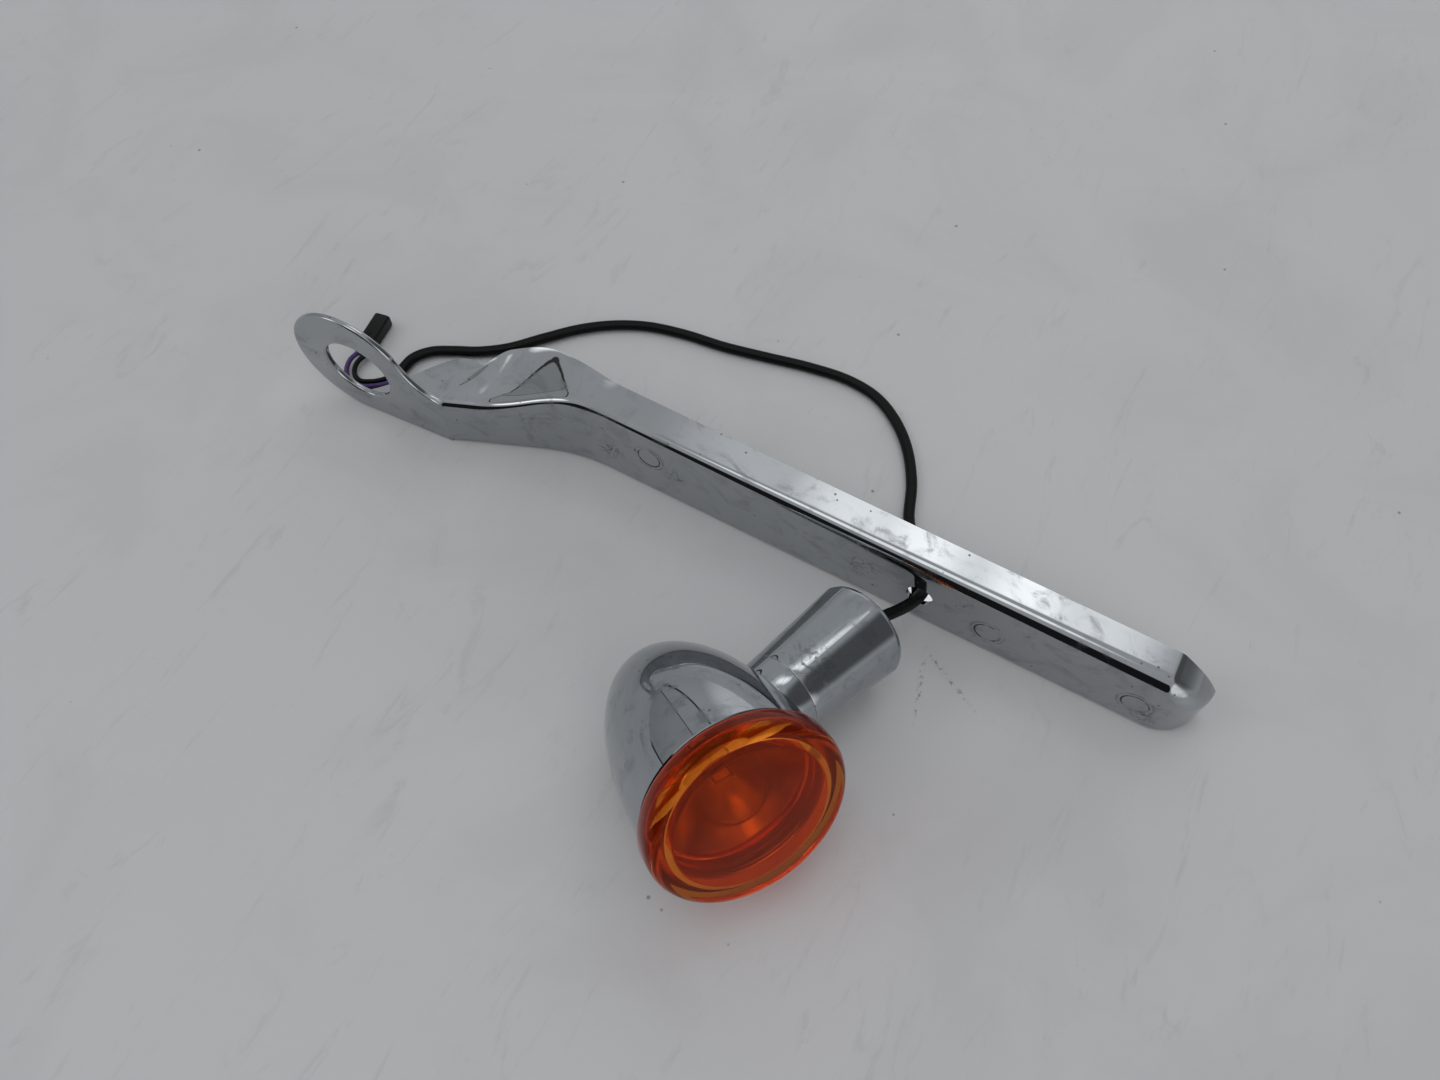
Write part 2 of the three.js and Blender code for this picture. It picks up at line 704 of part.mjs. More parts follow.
// Behind the cover, Y is measured from the flange's back edge.
const leadBehind = [
  [39, -1.6, 10.2], [34.2, 5.4, 6.8], [29, 12.4, 3.9], [24.3, 19.9, 2.5], [18.1, 35.9, 2.4],
  [9.6, 49.9, 2.4], [-0.5, 60, 2.4], [-11.9, 66.5, 2.4], [-25.5, 68.6, 2.4], [-42.7, 66.6, 2.4],
  [-60.5, 62.6, 2.4], [-78.3, 58.8, 2.4], [-97, 56.3, 2.4], [-112.6, 52.3, 2.4],
  [-125.9, 45.5, 2.4], [-137, 36.6, 2.4], [-147.2, 25.2, 2.4], [-157, 13.6, 2.4],
  [-166.6, 6, 2.4], [-176.6, 0.7, 2.4],
];

const leadTail = [[-184.3, 11.4, 2.4], [-188.6, 5, 2.4], [-189, -2.6, 2.4]];

const leadPoints = [
  ...leadInFront, ...leadBehind.map(([x, y, z]) => [x, flangeDepth + y, z]), ...leadTail,
];

const tailPoints = {
  wire_violet: [
    [-187.9, -3.6, 1.9], [-188.6, -7, 1.4], [-191, -11, 1.2], [-195.2, -14.8, 1.2],
    [-200.2, -17.3, 1.2], [-205.6, -16.7, 1.3], [-209.4, -13.2, 1.8], [-210.4, -9, 2.9],
    [-209.9, -5.1, 3.2],
  ],
  wire_black: [
    [-190.3, -3.6, 1.9], [-191.2, -6.6, 1.4], [-193.6, -10.1, 1.2], [-196.8, -12.9, 1.2],
    [-200.8, -14.8, 1.2], [-204.6, -13.8, 1.4], [-206.8, -10.6, 2.2], [-206.9, -7.4, 3],
    [-206.2, -4.5, 3.2],
  ],
};

// Connector pieces are made with Y from the wire end to the mating end, then placed.
const placeConnector = (geometry) =>
  geometry.rotateZ(radians(connectorTurn)).translate(...connectorPlace.toArray());

function block(width, from, to, height, x, z) {
  return new THREE.BoxGeometry(width, to - from, height).translate(x, (from + to) / 2, z);
}

function connectorHousing() {
  const half = connectorWidth / 2 - connectorEdge;
  const section = new THREE.Shape();
  section.moveTo(-half, connectorEdge);
  section.lineTo(half, connectorEdge);
  section.lineTo(half, connectorHeight - connectorEdge);
  section.lineTo(-half, connectorHeight - connectorEdge);
  const body = new THREE.ExtrudeGeometry(section, {
    depth: connectorLength - 2 * connectorEdge,
    bevelSize: connectorEdge,
    bevelThickness: connectorEdge,
    bevelSegments: 2,
  }).rotateX(Math.PI / 2).translate(0, connectorLength - connectorEdge, 0);
  const middle = connectorHeight / 2;
  const cavityFrom = connectorLength - cavityDepth;
  const cavities = [-1, 1].map((side) =>
    block(cavitySize, cavityFrom, connectorLength + 1, cavitySize, side * terminalSpacing / 2, middle));
  return placeConnector(cut(body, ...cavities));
}

function connectorTerminal(side) {
  const from = connectorLength - cavityDepth + fitGap;
  const body = block(terminalSize, from, connectorLength - 1.5, terminalSize, 0, 0);
  const mouth = block(terminalSize - 0.8, from + 3, connectorLength, terminalSize - 0.8, 0, 0);
  const x = side * terminalSpacing / 2;
  return placeConnector(cut(body, mouth).translate(x, 0, connectorHeight / 2));
}

// The assembly.

const chrome = { color: 0xc9ccd0, roughness: 0.12, metalness: 1 };
const brass = { color: 0xb8923f, roughness: 0.35, metalness: 1 };
const zinc = { color: 0x9a9c98, roughness: 0.4, metalness: 1 };
const steel = { color: 0x8a8c8e, roughness: 0.3, metalness: 1 };
const blackRubber = { color: 0x1a1a1b, roughness: 0.8, metalness: 0 };
const blackPlastic = { color: 0x17181a, roughness: 0.5, metalness: 0 };

function piece(name, geometry, material) {
  const mesh = new THREE.Mesh(geometry, new THREE.MeshStandardMaterial(material));
  mesh.name = name;
  return mesh;
}

function lampGroup() {
  const lamp = new THREE.Group();
  const heading = radians(lampHeading);
  const rise = radians(lampRise);
  const facing = new THREE.Vector3(
    Math.cos(heading) * Math.cos(rise), Math.sin(heading) * Math.cos(rise), Math.sin(rise));
  const level = new THREE.Vector3(-Math.sin(heading), Math.cos(heading), 0);
  const stemWay = level.applyAxisAngle(facing, radians(stemRise));
  const across = new THREE.Vector3().crossVectors(facing, stemWay);
  lamp.quaternion.setFromRotationMatrix(new THREE.Matrix4().makeBasis(stemWay, across, facing));
  lamp.position.copy(lampPlace);
  lamp.add(
    piece('housing', housing(), chrome),
    piece('lens', lens(), { color: 0xd9590c, roughness: 0.12, metalness: 0 }),
    piece('lens_gasket', lensGasket(), blackRubber),
    piece('reflector', reflector(), { color: 0xd6d6d2, roughness: 0.15, metalness: 1 }),
    piece('socket_shell', socketShell(), zinc),
    piece('contact_carrier', contactCarrier(), { color: 0x6b3f22, roughness: 0.7, metalness: 0 }),
    piece('contact_plunger', contactPlunger(), brass),
    piece('contact_spring', contactSpring(), steel),
    piece('bulb_glass', bulbGlass(), { color: 0xdfe6e6, roughness: 0.05, metalness: 0 }),
    piece('bulb_cap', bulbCap(), brass),
    piece('bulb_contact', bulbContact(), { color: 0xa8a8a4, roughness: 0.4, metalness: 1 }),
    piece('bulb_filament', bulbFilament(), steel),
    piece('head_wire_violet', headWire(1), { color: 0x4a2a6b, roughness: 0.5, metalness: 0 }),
    piece('head_wire_black', headWire(-1), blackPlastic),
    piece('stem', stem(), chrome),
    piece('swivel_spigot', swivelSpigot(), steel),
    piece('swivel_washer', swivelWasher(), steel),
    piece('swivel_nut', swivelNut(), zinc),
    piece('mount_insert', mountInsert(), zinc),
    piece('lead_grommet', leadGrommet(), blackRubber),
    piece('stem_wire_violet', stemWire(1), { color: 0x4a2a6b, roughness: 0.5, metalness: 0 }),
    piece('stem_wire_black', stemWire(-1), blackPlastic),
  );
  return lamp;
}

const cords = new THREE.Group();
cords.add(
  piece('lead_sleeve', tube(leadPoints, leadRadius, 8, 78), blackRubber),
  piece('wire_violet', tube(tailPoints.wire_violet, tailRadius, 8, 16),
    { color: 0x4a2a6b, roughness: 0.5, metalness: 0 }),
  piece('wire_black', tube(tailPoints.wire_black, tailRadius, 8, 14), blackPlastic),
  piece('connector_housing', connectorHousing(), blackPlastic),
  piece('connector_terminal_violet', connectorTerminal(-1), brass),
  piece('connector_terminal_black', connectorTerminal(1), brass),
);

const solidPieces = new THREE.Group();
solidPieces.add(piece('strut_cover', strutCover(), chrome));
for (const [name, place] of Object.entries(studPlaces)) {
  solidPieces.add(piece(`stud_${name}`, weldStud(place), zinc));
}
solidPieces.add(lampGroup());

// The origin is under the middle of everything but the lead and what hangs on it.
const turnSignal = new THREE.Group();
turnSignal.add(solidPieces, cords);
solidPieces.updateMatrixWorld(true);
const box = new THREE.Box3().setFromObject(solidPieces, true);
turnSignal.position.set(-(box.min.x + box.max.x) / 2, -(box.min.y + box.max.y) / 2, 0);

export default turnSignal;
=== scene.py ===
# A motorcycle turn signal set: bullet lamp, tapered stem, lead and chromed strut cover.
# Metres in the scene; the dictionaries hold millimetres.
import json
import bmesh
import bpy
import numpy as np
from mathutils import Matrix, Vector


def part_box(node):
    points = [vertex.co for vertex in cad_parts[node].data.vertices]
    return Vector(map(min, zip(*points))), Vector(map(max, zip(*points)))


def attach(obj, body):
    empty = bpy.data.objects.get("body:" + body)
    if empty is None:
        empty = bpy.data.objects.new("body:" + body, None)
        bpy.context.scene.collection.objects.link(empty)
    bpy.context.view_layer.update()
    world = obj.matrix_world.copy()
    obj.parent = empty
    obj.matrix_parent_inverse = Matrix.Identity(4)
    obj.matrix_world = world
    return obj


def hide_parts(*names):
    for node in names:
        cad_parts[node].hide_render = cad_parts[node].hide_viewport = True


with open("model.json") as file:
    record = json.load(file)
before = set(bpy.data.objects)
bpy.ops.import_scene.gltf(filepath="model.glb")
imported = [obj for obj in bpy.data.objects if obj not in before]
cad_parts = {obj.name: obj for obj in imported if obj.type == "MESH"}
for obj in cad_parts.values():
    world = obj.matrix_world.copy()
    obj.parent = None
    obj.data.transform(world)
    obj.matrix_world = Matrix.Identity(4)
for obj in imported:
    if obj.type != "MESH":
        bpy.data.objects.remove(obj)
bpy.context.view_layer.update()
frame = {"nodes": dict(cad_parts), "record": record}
mm = 0.001


# The CAD's datum is on the web's face; the frame's origin is under the box's middle.
datumStud = dict(x=68.6, y=1.9)
studLow, studHigh = (np.array(corner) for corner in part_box("stud_middle"))
shift = np.array([(studLow[0] + studHigh[0]) / 2 - datumStud["x"] * mm,
                  studLow[1] - datumStud["y"] * mm, 0.0])


def fromDatum(points):
    return np.asarray(points, float) * mm + shift


# The lamp's axes in the datum: Z is where the lens faces, X is square to it on the
# stem's side, and the stem's own axis leans back from X by the sweep.
lamp = dict(place=(33.7, -107.0, 47.6), heading=-31.1, rise=26.5, roll=-3.2, sweep=17.1,
            setback=31.2)


def lampAxes():
    heading, rise, roll = np.radians([lamp["heading"], lamp["rise"], lamp["roll"]])
    facing = np.array([np.cos(heading) * np.cos(rise), np.sin(heading) * np.cos(rise),
                       np.sin(rise)])
    level = np.array([-np.sin(heading), np.cos(heading), 0.0])
    stemWay = level * np.cos(roll) + np.cross(facing, level) * np.sin(roll)
    return np.array([stemWay, np.cross(facing, stemWay), facing])


axes = lampAxes()


def fromLamp(points):
    return fromDatum(np.asarray(points, float) @ axes + np.array(lamp["place"]))


def fromStem(points):
    # Z of the points becomes the stem's axis, leaning back by the sweep.
    sweep = np.radians(lamp["sweep"])
    points = np.asarray(points, float)
    x, y, z = points[..., 0], points[..., 1], points[..., 2]
    along = z * np.cos(sweep) + x * np.sin(sweep)
    back = -lamp["setback"] - z * np.sin(sweep) + x * np.cos(sweep)
    return fromLamp(np.stack([along, y, back], axis=-1))


print("frame read")

# Above and in front, looking down at 60 degrees.
view = dict(place=(66.7, -185.3, 355.0), azimuth=29.57, elevation=60.0, lens=27.0, sensor=36.0)


def makeCamera():
    data = bpy.data.cameras.new("camera")
    data.lens = view["lens"]
    data.sensor_width = view["sensor"]
    data.clip_start = 0.01
    camera = bpy.data.objects.new("camera", data)
    bpy.context.scene.collection.objects.link(camera)
    azimuth, elevation = np.radians([view["azimuth"], view["elevation"]])
    way = Vector((-np.sin(azimuth) * np.cos(elevation), np.cos(azimuth) * np.cos(elevation),
                  -np.sin(elevation)))
    camera.location = fromDatum(view["place"])
    camera.rotation_euler = way.to_track_quat("-Z", "Y").to_euler()
    bpy.context.scene.camera = camera


makeCamera()


def meshPiece(name, points, faces, sharp=35.0, flipIfInside=True):
    # Welds doubled points, turns the faces outward by the sign of the volume, and
    # smooths all but the edges sharper than the given angle.
    mesh = bpy.data.meshes.new(name)
    mesh.from_pydata(np.asarray(points, float).tolist(), [], faces)
    shape = bmesh.new()
    shape.from_mesh(mesh)
    bmesh.ops.remove_doubles(shape, verts=shape.verts, dist=2e-7)
    bmesh.ops.dissolve_degenerate(shape, edges=shape.edges, dist=1e-8)
    if flipIfInside and shape.calc_volume(signed=True) < 0:
        bmesh.ops.reverse_faces(shape, faces=shape.faces)
    shape.to_mesh(mesh)
    shape.free()
    mesh.polygons.foreach_set("use_smooth", np.ones(len(mesh.polygons), bool))
    mesh.set_sharp_from_angle(angle=np.radians(sharp))
    piece = bpy.data.objects.new(name, mesh)
    bpy.context.scene.collection.objects.link(piece)
    return piece


def gridFaces(rows, columns, closeColumns=True, closeRows=False):
    # Quads between neighbouring points of a grid, wrapping where it closes.
    r = np.arange(rows if closeRows else rows - 1)
    c = np.arange(columns if closeColumns else columns - 1)
    r, c = np.meshgrid(r, c, indexing="ij")
    r2, c2 = (r + 1) % rows, (c + 1) % columns
    quads = np.stack([r * columns + c, r2 * columns + c, r2 * columns + c2, r * columns + c2],
                     axis=-1)
    return quads.reshape(-1, 4).tolist()


def endFaces(rows, columns):
    # The first and the last ring of a grid, each closed by one face.
    last = (rows - 1) * columns
    return [list(range(columns)), list(range(last, last + columns))[::-1]]


def refined(outline, step):
    # Puts extra points along each straight run of an outline, no more than step apart.
    outline = np.asarray(outline, float)
    rows = [outline[:1]]
    for a, b in zip(outline[:-1], outline[1:]):
        count = max(1, int(np.ceil(np.linalg.norm(b - a) / step)))
        rows.append(a + (b - a) * (np.arange(1, count + 1) / count)[:, None])
    return np.concatenate(rows)


def rounded(outline, radius, steps=5):
    # Each inner corner of an open outline becomes a quadratic curve that starts and
    # ends radius away from it, or less where the neighbouring runs are short.
    outline = np.asarray(outline, float)
    rows = [outline[:1]]
    for before, corner, after in zip(outline[:-2], outline[1:-1], outline[2:]):
        inLength, outLength = np.linalg.norm(corner - before), np.linalg.norm(after - corner)
        reach = min(radius, 0.45 * inLength, 0.45 * outLength)
        start = corner + (before - corner) / inLength * reach
        end = corner + (after - corner) / outLength * reach
        t = np.linspace(0, 1, steps)[:, None]
        rows.append((1 - t) ** 2 * start + 2 * t * (1 - t) * corner + t ** 2 * end)
    rows.append(outline[-1:])
    return np.concatenate(rows)


def turnedPoints(outline, sides):
    # Radius and height of each outline point carried round the axis in equal turns.
    outline = np.asarray(outline, float)
    turn = 2 * np.pi * np.arange(sides) / sides
    radius, height = outline[:, 0, None], outline[:, 1, None]
    return np.stack([radius * np.cos(turn), radius * np.sin(turn), height + 0 * turn], axis=-1)


def turnedPiece(name, outline, place, sides=128, ring=False, sharp=35.0):
    grid = turnedPoints(outline, sides)
    faces = gridFaces(len(outline), sides, True, ring)
    return meshPiece(name, place(grid.reshape(-1, 3)), faces, sharp)


def splinePath(points, spacing):
    # A centripetal curve through the points: the root of each chord is its time, and
    # each slope is the weighted mean of the chords beside it.
    points = np.asarray(points, float)
    chord = np.linalg.norm(np.diff(points, axis=0), axis=1)
    gap = np.sqrt(chord)
    rate = np.diff(points, axis=0) / gap[:, None]
    slope = np.empty_like(points)
    before, after = gap[:-1, None], gap[1:, None]
    slope[1:-1] = (rate[:-1] * after + rate[1:] * before) / (before + after)
    slope[0], slope[-1] = rate[0], rate[-1]
    rows = []
    for k in range(len(chord)):
        count = max(2, int(round(chord[k] / spacing)))
        t = (np.arange(count) / count)[:, None]
        a, b = points[k], points[k + 1]
        m, n = slope[k] * gap[k], slope[k + 1] * gap[k]
        rows.append((2 * t ** 3 - 3 * t ** 2 + 1) * a + (t ** 3 - 2 * t ** 2 + t) * m
                    + (3 * t ** 2 - 2 * t ** 3) * b + (t ** 3 - t ** 2) * n)
    rows.append(points[-1:])
    return np.concatenate(rows)


def sweptPiece(name, path, section, sharp=40.0):
    # A closed section, given as sideways and upward offsets, carried along a path with
    # its upward side kept as near to Z as the path lets it. Domed ends close it.
    way = np.gradient(path, axis=0)
    way /= np.linalg.norm(way, axis=1)[:, None]
    side = np.cross(way, [0, 0, 1.0])
    side /= np.linalg.norm(side, axis=1)[:, None]
    up = np.cross(side, way)
    section = np.asarray(section, float)
    grid = (path[:, None] + section[None, :, 0, None] * side[:, None]
            + section[None, :, 1, None] * up[:, None])
    middle = section.mean(axis=0)
    reach = 0.35 * np.ptp(section[:, 1])
    caps = []
    for end, sign in ((0, -1), (-1, 1)):
        domes = []
        for part in (0.35, 0.7, 0.92, 1.0):
            ring = middle + (section - middle) * np.sqrt(1 - part ** 2)
            centre = path[end] + sign * way[end] * reach * part
            domes.append(centre + ring[:, 0, None] * side[end] + ring[:, 1, None] * up[end])
        caps.append(np.array(domes))
    grid = np.concatenate([caps[0][::-1], grid, caps[1]])
    faces = gridFaces(*grid.shape[:2])
    return meshPiece(name, fromDatum(grid.reshape(-1, 3)), faces, sharp)


def joinedPiece(name, parts):
    # One object from several closed shells.
    for part in bpy.context.selected_objects:
        part.select_set(False)
    for part in parts:
        part.select_set(True)
    bpy.context.view_layer.objects.active = parts[0]
    bpy.ops.object.join()
    parts[0].name = name
    parts[0].data.name = name
    return parts[0]


def cutBy(piece, tool):
    # Takes the tool's shape out of the piece and throws the tool away.
    modifier = piece.modifiers.new("cut", "BOOLEAN")
    modifier.operation = "DIFFERENCE"
    modifier.solver = "EXACT"
    modifier.object = tool
    with bpy.context.temp_override(object=piece, active_object=piece):
        bpy.ops.object.modifier_apply(modifier="cut")
    bpy.data.objects.remove(tool)
    piece.data.polygons.foreach_set("use_smooth", np.ones(len(piece.data.polygons), bool))
    piece.data.set_sharp_from_angle(angle=np.radians(30))
    return piece


lead = dict(width=4.4, thickness=4.0, groove=0.28, spacing=1.2, sink=0.25, length=0.3469)
leadRoute = [
    (29.3, -28.8, 21.5), (30.2, -25.9, 21), (31.3, -22.4, 20.4), (33.4, -17.4, 19.1),
    (36.1, -12.8, 17.5), (38.8, -8.2, 16.3), (41, -4, 15.8), (42.4, 0.7, 15.2),
    (42.2, 6.4, 13.3), (39, 14, 10.2), (34.2, 21, 6.8), (29, 28, 3.9), (24.3, 35.5, 2.5),
    (18.1, 51.5, 2.4), (9.6, 65.5, 2.4), (-0.5, 75.6, 2.4), (-11.9, 82.1, 2.4),
    (-25.5, 84.2, 2.4), (-42.7, 82.2, 2.4), (-60.5, 78.2, 2.4), (-78.3, 74.4, 2.4),
    (-97, 71.9, 2.4), (-112.6, 67.9, 2.4), (-125.9, 61.1, 2.4), (-137, 52.2, 2.4),
    (-147.2, 40.8, 2.4), (-157, 29.2, 2.4), (-166.6, 21.6, 2.4), (-176.6, 16.3, 2.4),
    (-184.3, 11.4, 2.4), (-188.6, 5, 2.4), (-189, -2.6, 2.4),
]
wire = dict(diameter=2.0, spacing=0.5, violetLength=0.0387, blackLength=0.0305)
violetRoute = [
    (-187.9, -3.6, 1.9), (-188.6, -7, 1.4), (-191, -11, 1.2), (-195.2, -14.8, 1.2),
    (-200.2, -17.3, 1.2), (-205.6, -16.7, 1.3), (-209.4, -13.2, 1.8), (-210.4, -9, 2.9),
    (-209.9, -5.1, 3.2),
]
blackRoute = [
    (-190.3, -3.6, 1.9), (-191.2, -6.6, 1.4), (-193.6, -10.1, 1.2), (-196.8, -12.9, 1.2),
    (-200.8, -14.8, 1.2), (-204.6, -13.8, 1.4), (-206.8, -10.6, 2.2), (-206.9, -7.4, 3),
    (-206.2, -4.5, 3.2),
]


def leadSection(sides=40):
    # An oval with a shallow groove along its top and bottom, where two wires lie side
    # by side under the skin: the half thickness dips by the groove at the middle.
    turn = 2 * np.pi * np.arange(sides) / sides
    across = lead["width"] / 2 * np.cos(turn)
    dip = lead["groove"] * np.exp(-(across / 0.7) ** 2)
    up = (lead["thickness"] / 2 - dip) * np.sin(turn) - lead["sink"]
    return np.stack([across, up], axis=-1)


def wireSection(sides=20):
    turn = 2 * np.pi * np.arange(sides) / sides
    radius = wire["diameter"] / 2
    return np.stack([radius * np.cos(turn), radius * np.sin(turn)], axis=-1)


leadPath = splinePath(leadRoute, lead["spacing"])
violetPath = splinePath(violetRoute, wire["spacing"])
blackPath = splinePath(blackRoute, wire["spacing"])
leadPiece = sweptPiece("lead_skin", leadPath, leadSection())
violetPiece = sweptPiece("violet_tail", violetPath, wireSection())
blackPiece = sweptPiece("black_tail", blackPath, wireSection())


def pathLength(path):
    return float(np.linalg.norm(np.diff(path, axis=0), axis=1).sum()) * mm


print("cords made: lead %.4f violet %.4f black %.4f" % (
    pathLength(leadPath), pathLength(violetPath), pathLength(blackPath)))

cover = dict(
    wall=1.6, straightStart=-88, noseStart=128, noseLength=15.5, noseDrop=10, noseTuck=4, flangeDepth=15.6,
    heightAtSweep=34.5, heightAtNose=30.5, heightAtTab=24, cornerAtSweep=3.2, cornerAtNose=6,
    footCorner=2.2, sweepRamp=30, sweepSlope=0.42, tabStart=-151, flareStart=-118, flareRise=7,
    flareSpread=2.9, flareHeel=0.12, flareBow=1.15,
    flareFade=44, flareClimb=14, creaseRadius=1.1, creaseStep=0.18,
)
tab = dict(radius=26, thickness=2.6, reach=38.3, yaw=0.075, holeRadius=14, holeShift=-1.9,
           holeHeight=24.5, neckTurn=145, edge=0.9)
leadHole = dict(x=42.3, z=15.5, radius=5)
weldMarks = [(-69, 21), (68.6, 12.8), (122, 12.8)]
weld = dict(relief=0.07, ridge=5.4, ridgeWidth=0.7, dish=3.8)


def smooth(t):
    t = np.clip(t, 0, 1)
    return t * t * (3 - 2 * t)


def webFace(x):
    # Zero on the straight run, then a parabola that turns into a line sloping forward.
    past = np.maximum(cover["straightStart"] - np.asarray(x, float), 0)
    ramp = np.minimum(past, cover["sweepRamp"])
    return -cover["sweepSlope"] * (ramp * ramp / (2 * cover["sweepRamp"]) + (past - ramp))


def webHeight(x):
    x = np.asarray(x, float)
    along = (x - cover["straightStart"]) / (cover["noseStart"] - cover["straightStart"])
    straight = cover["heightAtSweep"] + (cover["heightAtNose"] - cover["heightAtSweep"]) * along
    climb = smooth((x - cover["tabStart"] - 12) / 40)
    swept = cover["heightAtTab"] + (cover["heightAtSweep"] - cover["heightAtTab"]) * climb
    return np.where(x >= cover["straightStart"], straight, swept)


def topCorner(x):
    along = (x - cover["straightStart"]) / (cover["noseStart"] - cover["straightStart"])
    along = np.clip(along, 0, 1)
    return cover["cornerAtSweep"] + (cover["cornerAtNose"] - cover["cornerAtSweep"]) * along


def flareShare(x):
    climb = smooth((x - cover["tabStart"]) / cover["flareClimb"])
    return climb * smooth((cover["straightStart"] - x) / cover["flareFade"])


def flangeEdge(x):
    share = np.clip((cover["flareStart"] - x) / (cover["flareStart"] - cover["tabStart"]), 0, 1)
    fold = webFace(cover["tabStart"])
    sweep = fold + (cover["flangeDepth"] - fold) * np.sqrt(1 - share * share)
    return sweep + cover["flareSpread"] * flareShare(x)


def coverRows():
    # One row of numbers for each section: its outer and inner X, face, height, corner,
    # back edge and rise. Sections crowd at the fold, the weld marks, the crease and the nose.
    tight = np.concatenate([np.arange(centre - 8, centre + 8, 0.45) for centre, height in weldMarks])
    fold = cover["tabStart"] + 33 * (1 - np.cos(np.linspace(0, np.pi / 2, 60)))
    plain = np.arange(cover["flareStart"], cover["noseStart"] - 1.5, 1.3)
    close = np.arange(cover["noseStart"] - 1.5, cover["noseStart"], cover["creaseStep"])
    x = np.unique(np.round(np.concatenate([tight, fold, plain, close]), 3))
    keep = np.concatenate([[True], np.diff(x) > 0.12])
    x = x[keep & (x < cover["noseStart"])]
    turn = np.radians(np.concatenate([np.linspace(0, 8, 10)[:-1], np.linspace(8, 86, 44)]))
    depth, wall = cover["flangeDepth"], cover["wall"]
    outerX = np.concatenate([x, cover["noseStart"] + cover["noseLength"] * np.sin(turn)])
    innerX = np.concatenate([x, cover["noseStart"] + (cover["noseLength"] - wall) * np.sin(turn)])
    wrap = np.concatenate([0 * x, 1 - np.cos(turn)])
    straight = outerX < cover["noseStart"]
    face = np.where(straight, webFace(outerX), depth * wrap)
    inner = np.where(straight, webFace(outerX) + wall, wall + (depth - wall) * wrap)
    past = outerX - cover["noseStart"]
    crease = cover["creaseRadius"]
    fillet = np.where(past < -crease, 0, np.where(past > crease, past, (past + crease) ** 2 / (4 * crease)))
    height = webHeight(np.minimum(outerX, cover["noseStart"]))
    height = height - cover["noseDrop"] / cover["noseLength"] * fillet
    height = height - cover["noseTuck"] * np.concatenate([0 * x, np.sin(turn) ** 4])
    limit = np.concatenate([0 * x + 99, depth * np.cos(turn) * 0.45])
    corner = np.minimum(topCorner(outerX), limit)
    edge = np.where(straight, flangeEdge(outerX), depth)
    return outerX, innerX, face, inner, height, corner, edge, cover["flareRise"] * flareShare(outerX)


def coverContour(x, front, top, radius, foot, floor, edge, rise, counts, lip):
    # Half a section for every row: along the top flange from its back edge, round the
    # top corner, down the web, round the foot and back along the bottom flange.
    flangeSteps, cornerSteps, webSteps, footSteps, baseSteps = counts
    edge = np.maximum(edge, front + radius + 0.3)

    def column(values):
        return np.asarray(values, float)[:, None]

    share = 1 - np.arange(flangeSteps) / flangeSteps
    y = column(front + radius) + share * column(edge - front - radius) - lip * (share > 0.999)
    heel = cover["flareHeel"]
    z = column(top) + column(rise) * np.maximum(0, (share - heel) / (1 - heel)) ** cover["flareBow"]
    parts = [(y, z)]
    turn = np.pi / 2 * (1 + np.arange(cornerSteps + 1) / cornerSteps)
    parts.append((column(front + radius) + column(radius) * np.cos(turn),
                  column(top - radius) + column(radius) * np.sin(turn)))
    drop = np.arange(1, webSteps) / webSteps
    high, low = column(top - radius), floor + foot
    parts.append((column(front) + 0 * drop, high + (low - high) * drop))
    turn = np.pi * (1 + np.arange(footSteps + 1) / footSteps / 2)
    parts.append((column(front) + foot + foot * np.cos(turn),
                  floor + foot + foot * np.sin(turn) + 0 * column(front)))
    reach = np.arange(1, baseSteps + 1) / baseSteps
    depth = cover["flangeDepth"]
    parts.append((column(front) + foot + (depth - column(front) - foot) * reach - lip * (reach > 0.999),
                  floor + 0 * reach + 0 * column(front)))
    y = np.concatenate([p[0] for p in parts], axis=1)
    z = np.concatenate([p[1] for p in parts], axis=1)
    return np.stack([column(x) + 0 * y, y, z], axis=-1)


def weldRelief(points):
    # Where a stud was welded behind, the face shows a ring a few hundredths proud
    # round a shallow dish: a narrow ridge at one radius, and a wide dip inside it.
    relief = np.zeros(points.shape[:-1])
    for x, z in weldMarks:
        distance = np.hypot(points[..., 0] - x, points[..., 2] - z)
        ridge = np.exp(-((distance - weld["ridge"]) / weld["ridgeWidth"]) ** 2)
        dish = np.exp(-(distance / weld["dish"]) ** 2)
        relief += weld["relief"] * (ridge - dish)
    onWeb = np.abs(points[..., 1] - webFace(points[..., 0])) < 0.01
    points[..., 1] -= relief * onWeb
    return points


def coverChannel():
    # The pressed channel as one closed skin: outer contour, then the inner one back.
    outerX, innerX, face, inner, height, corner, edge, rise = coverRows()
    wall = cover["wall"]
    outer = coverContour(outerX, face, height, corner, cover["footCorner"], 0, edge, rise,
                         (16, 12, 44, 6, 7), 0.35)
    outer = weldRelief(outer)
    innerCorner, innerFoot = np.maximum(corner - wall, 0.5), max(cover["footCorner"] - wall, 0.5)
    inside = coverContour(innerX, inner, height - wall, innerCorner, innerFoot, wall, edge, rise,
                          (16, 6, 10, 4, 7), 0.35)
    lipTop = (outer[:, :1] + inside[:, :1]) / 2 + np.array([0, 0.35, 0])
    lipFoot = (outer[:, -1:] + inside[:, -1:]) / 2 + np.array([0, 0.35, 0])
    grid = np.concatenate([outer, lipFoot, inside[:, ::-1], lipTop], axis=1)
    rows, columns = grid.shape[:2]
    faces = gridFaces(rows, columns) + endFaces(rows, columns)
    return meshPiece("channel", fromDatum(grid.reshape(-1, 3)), faces)


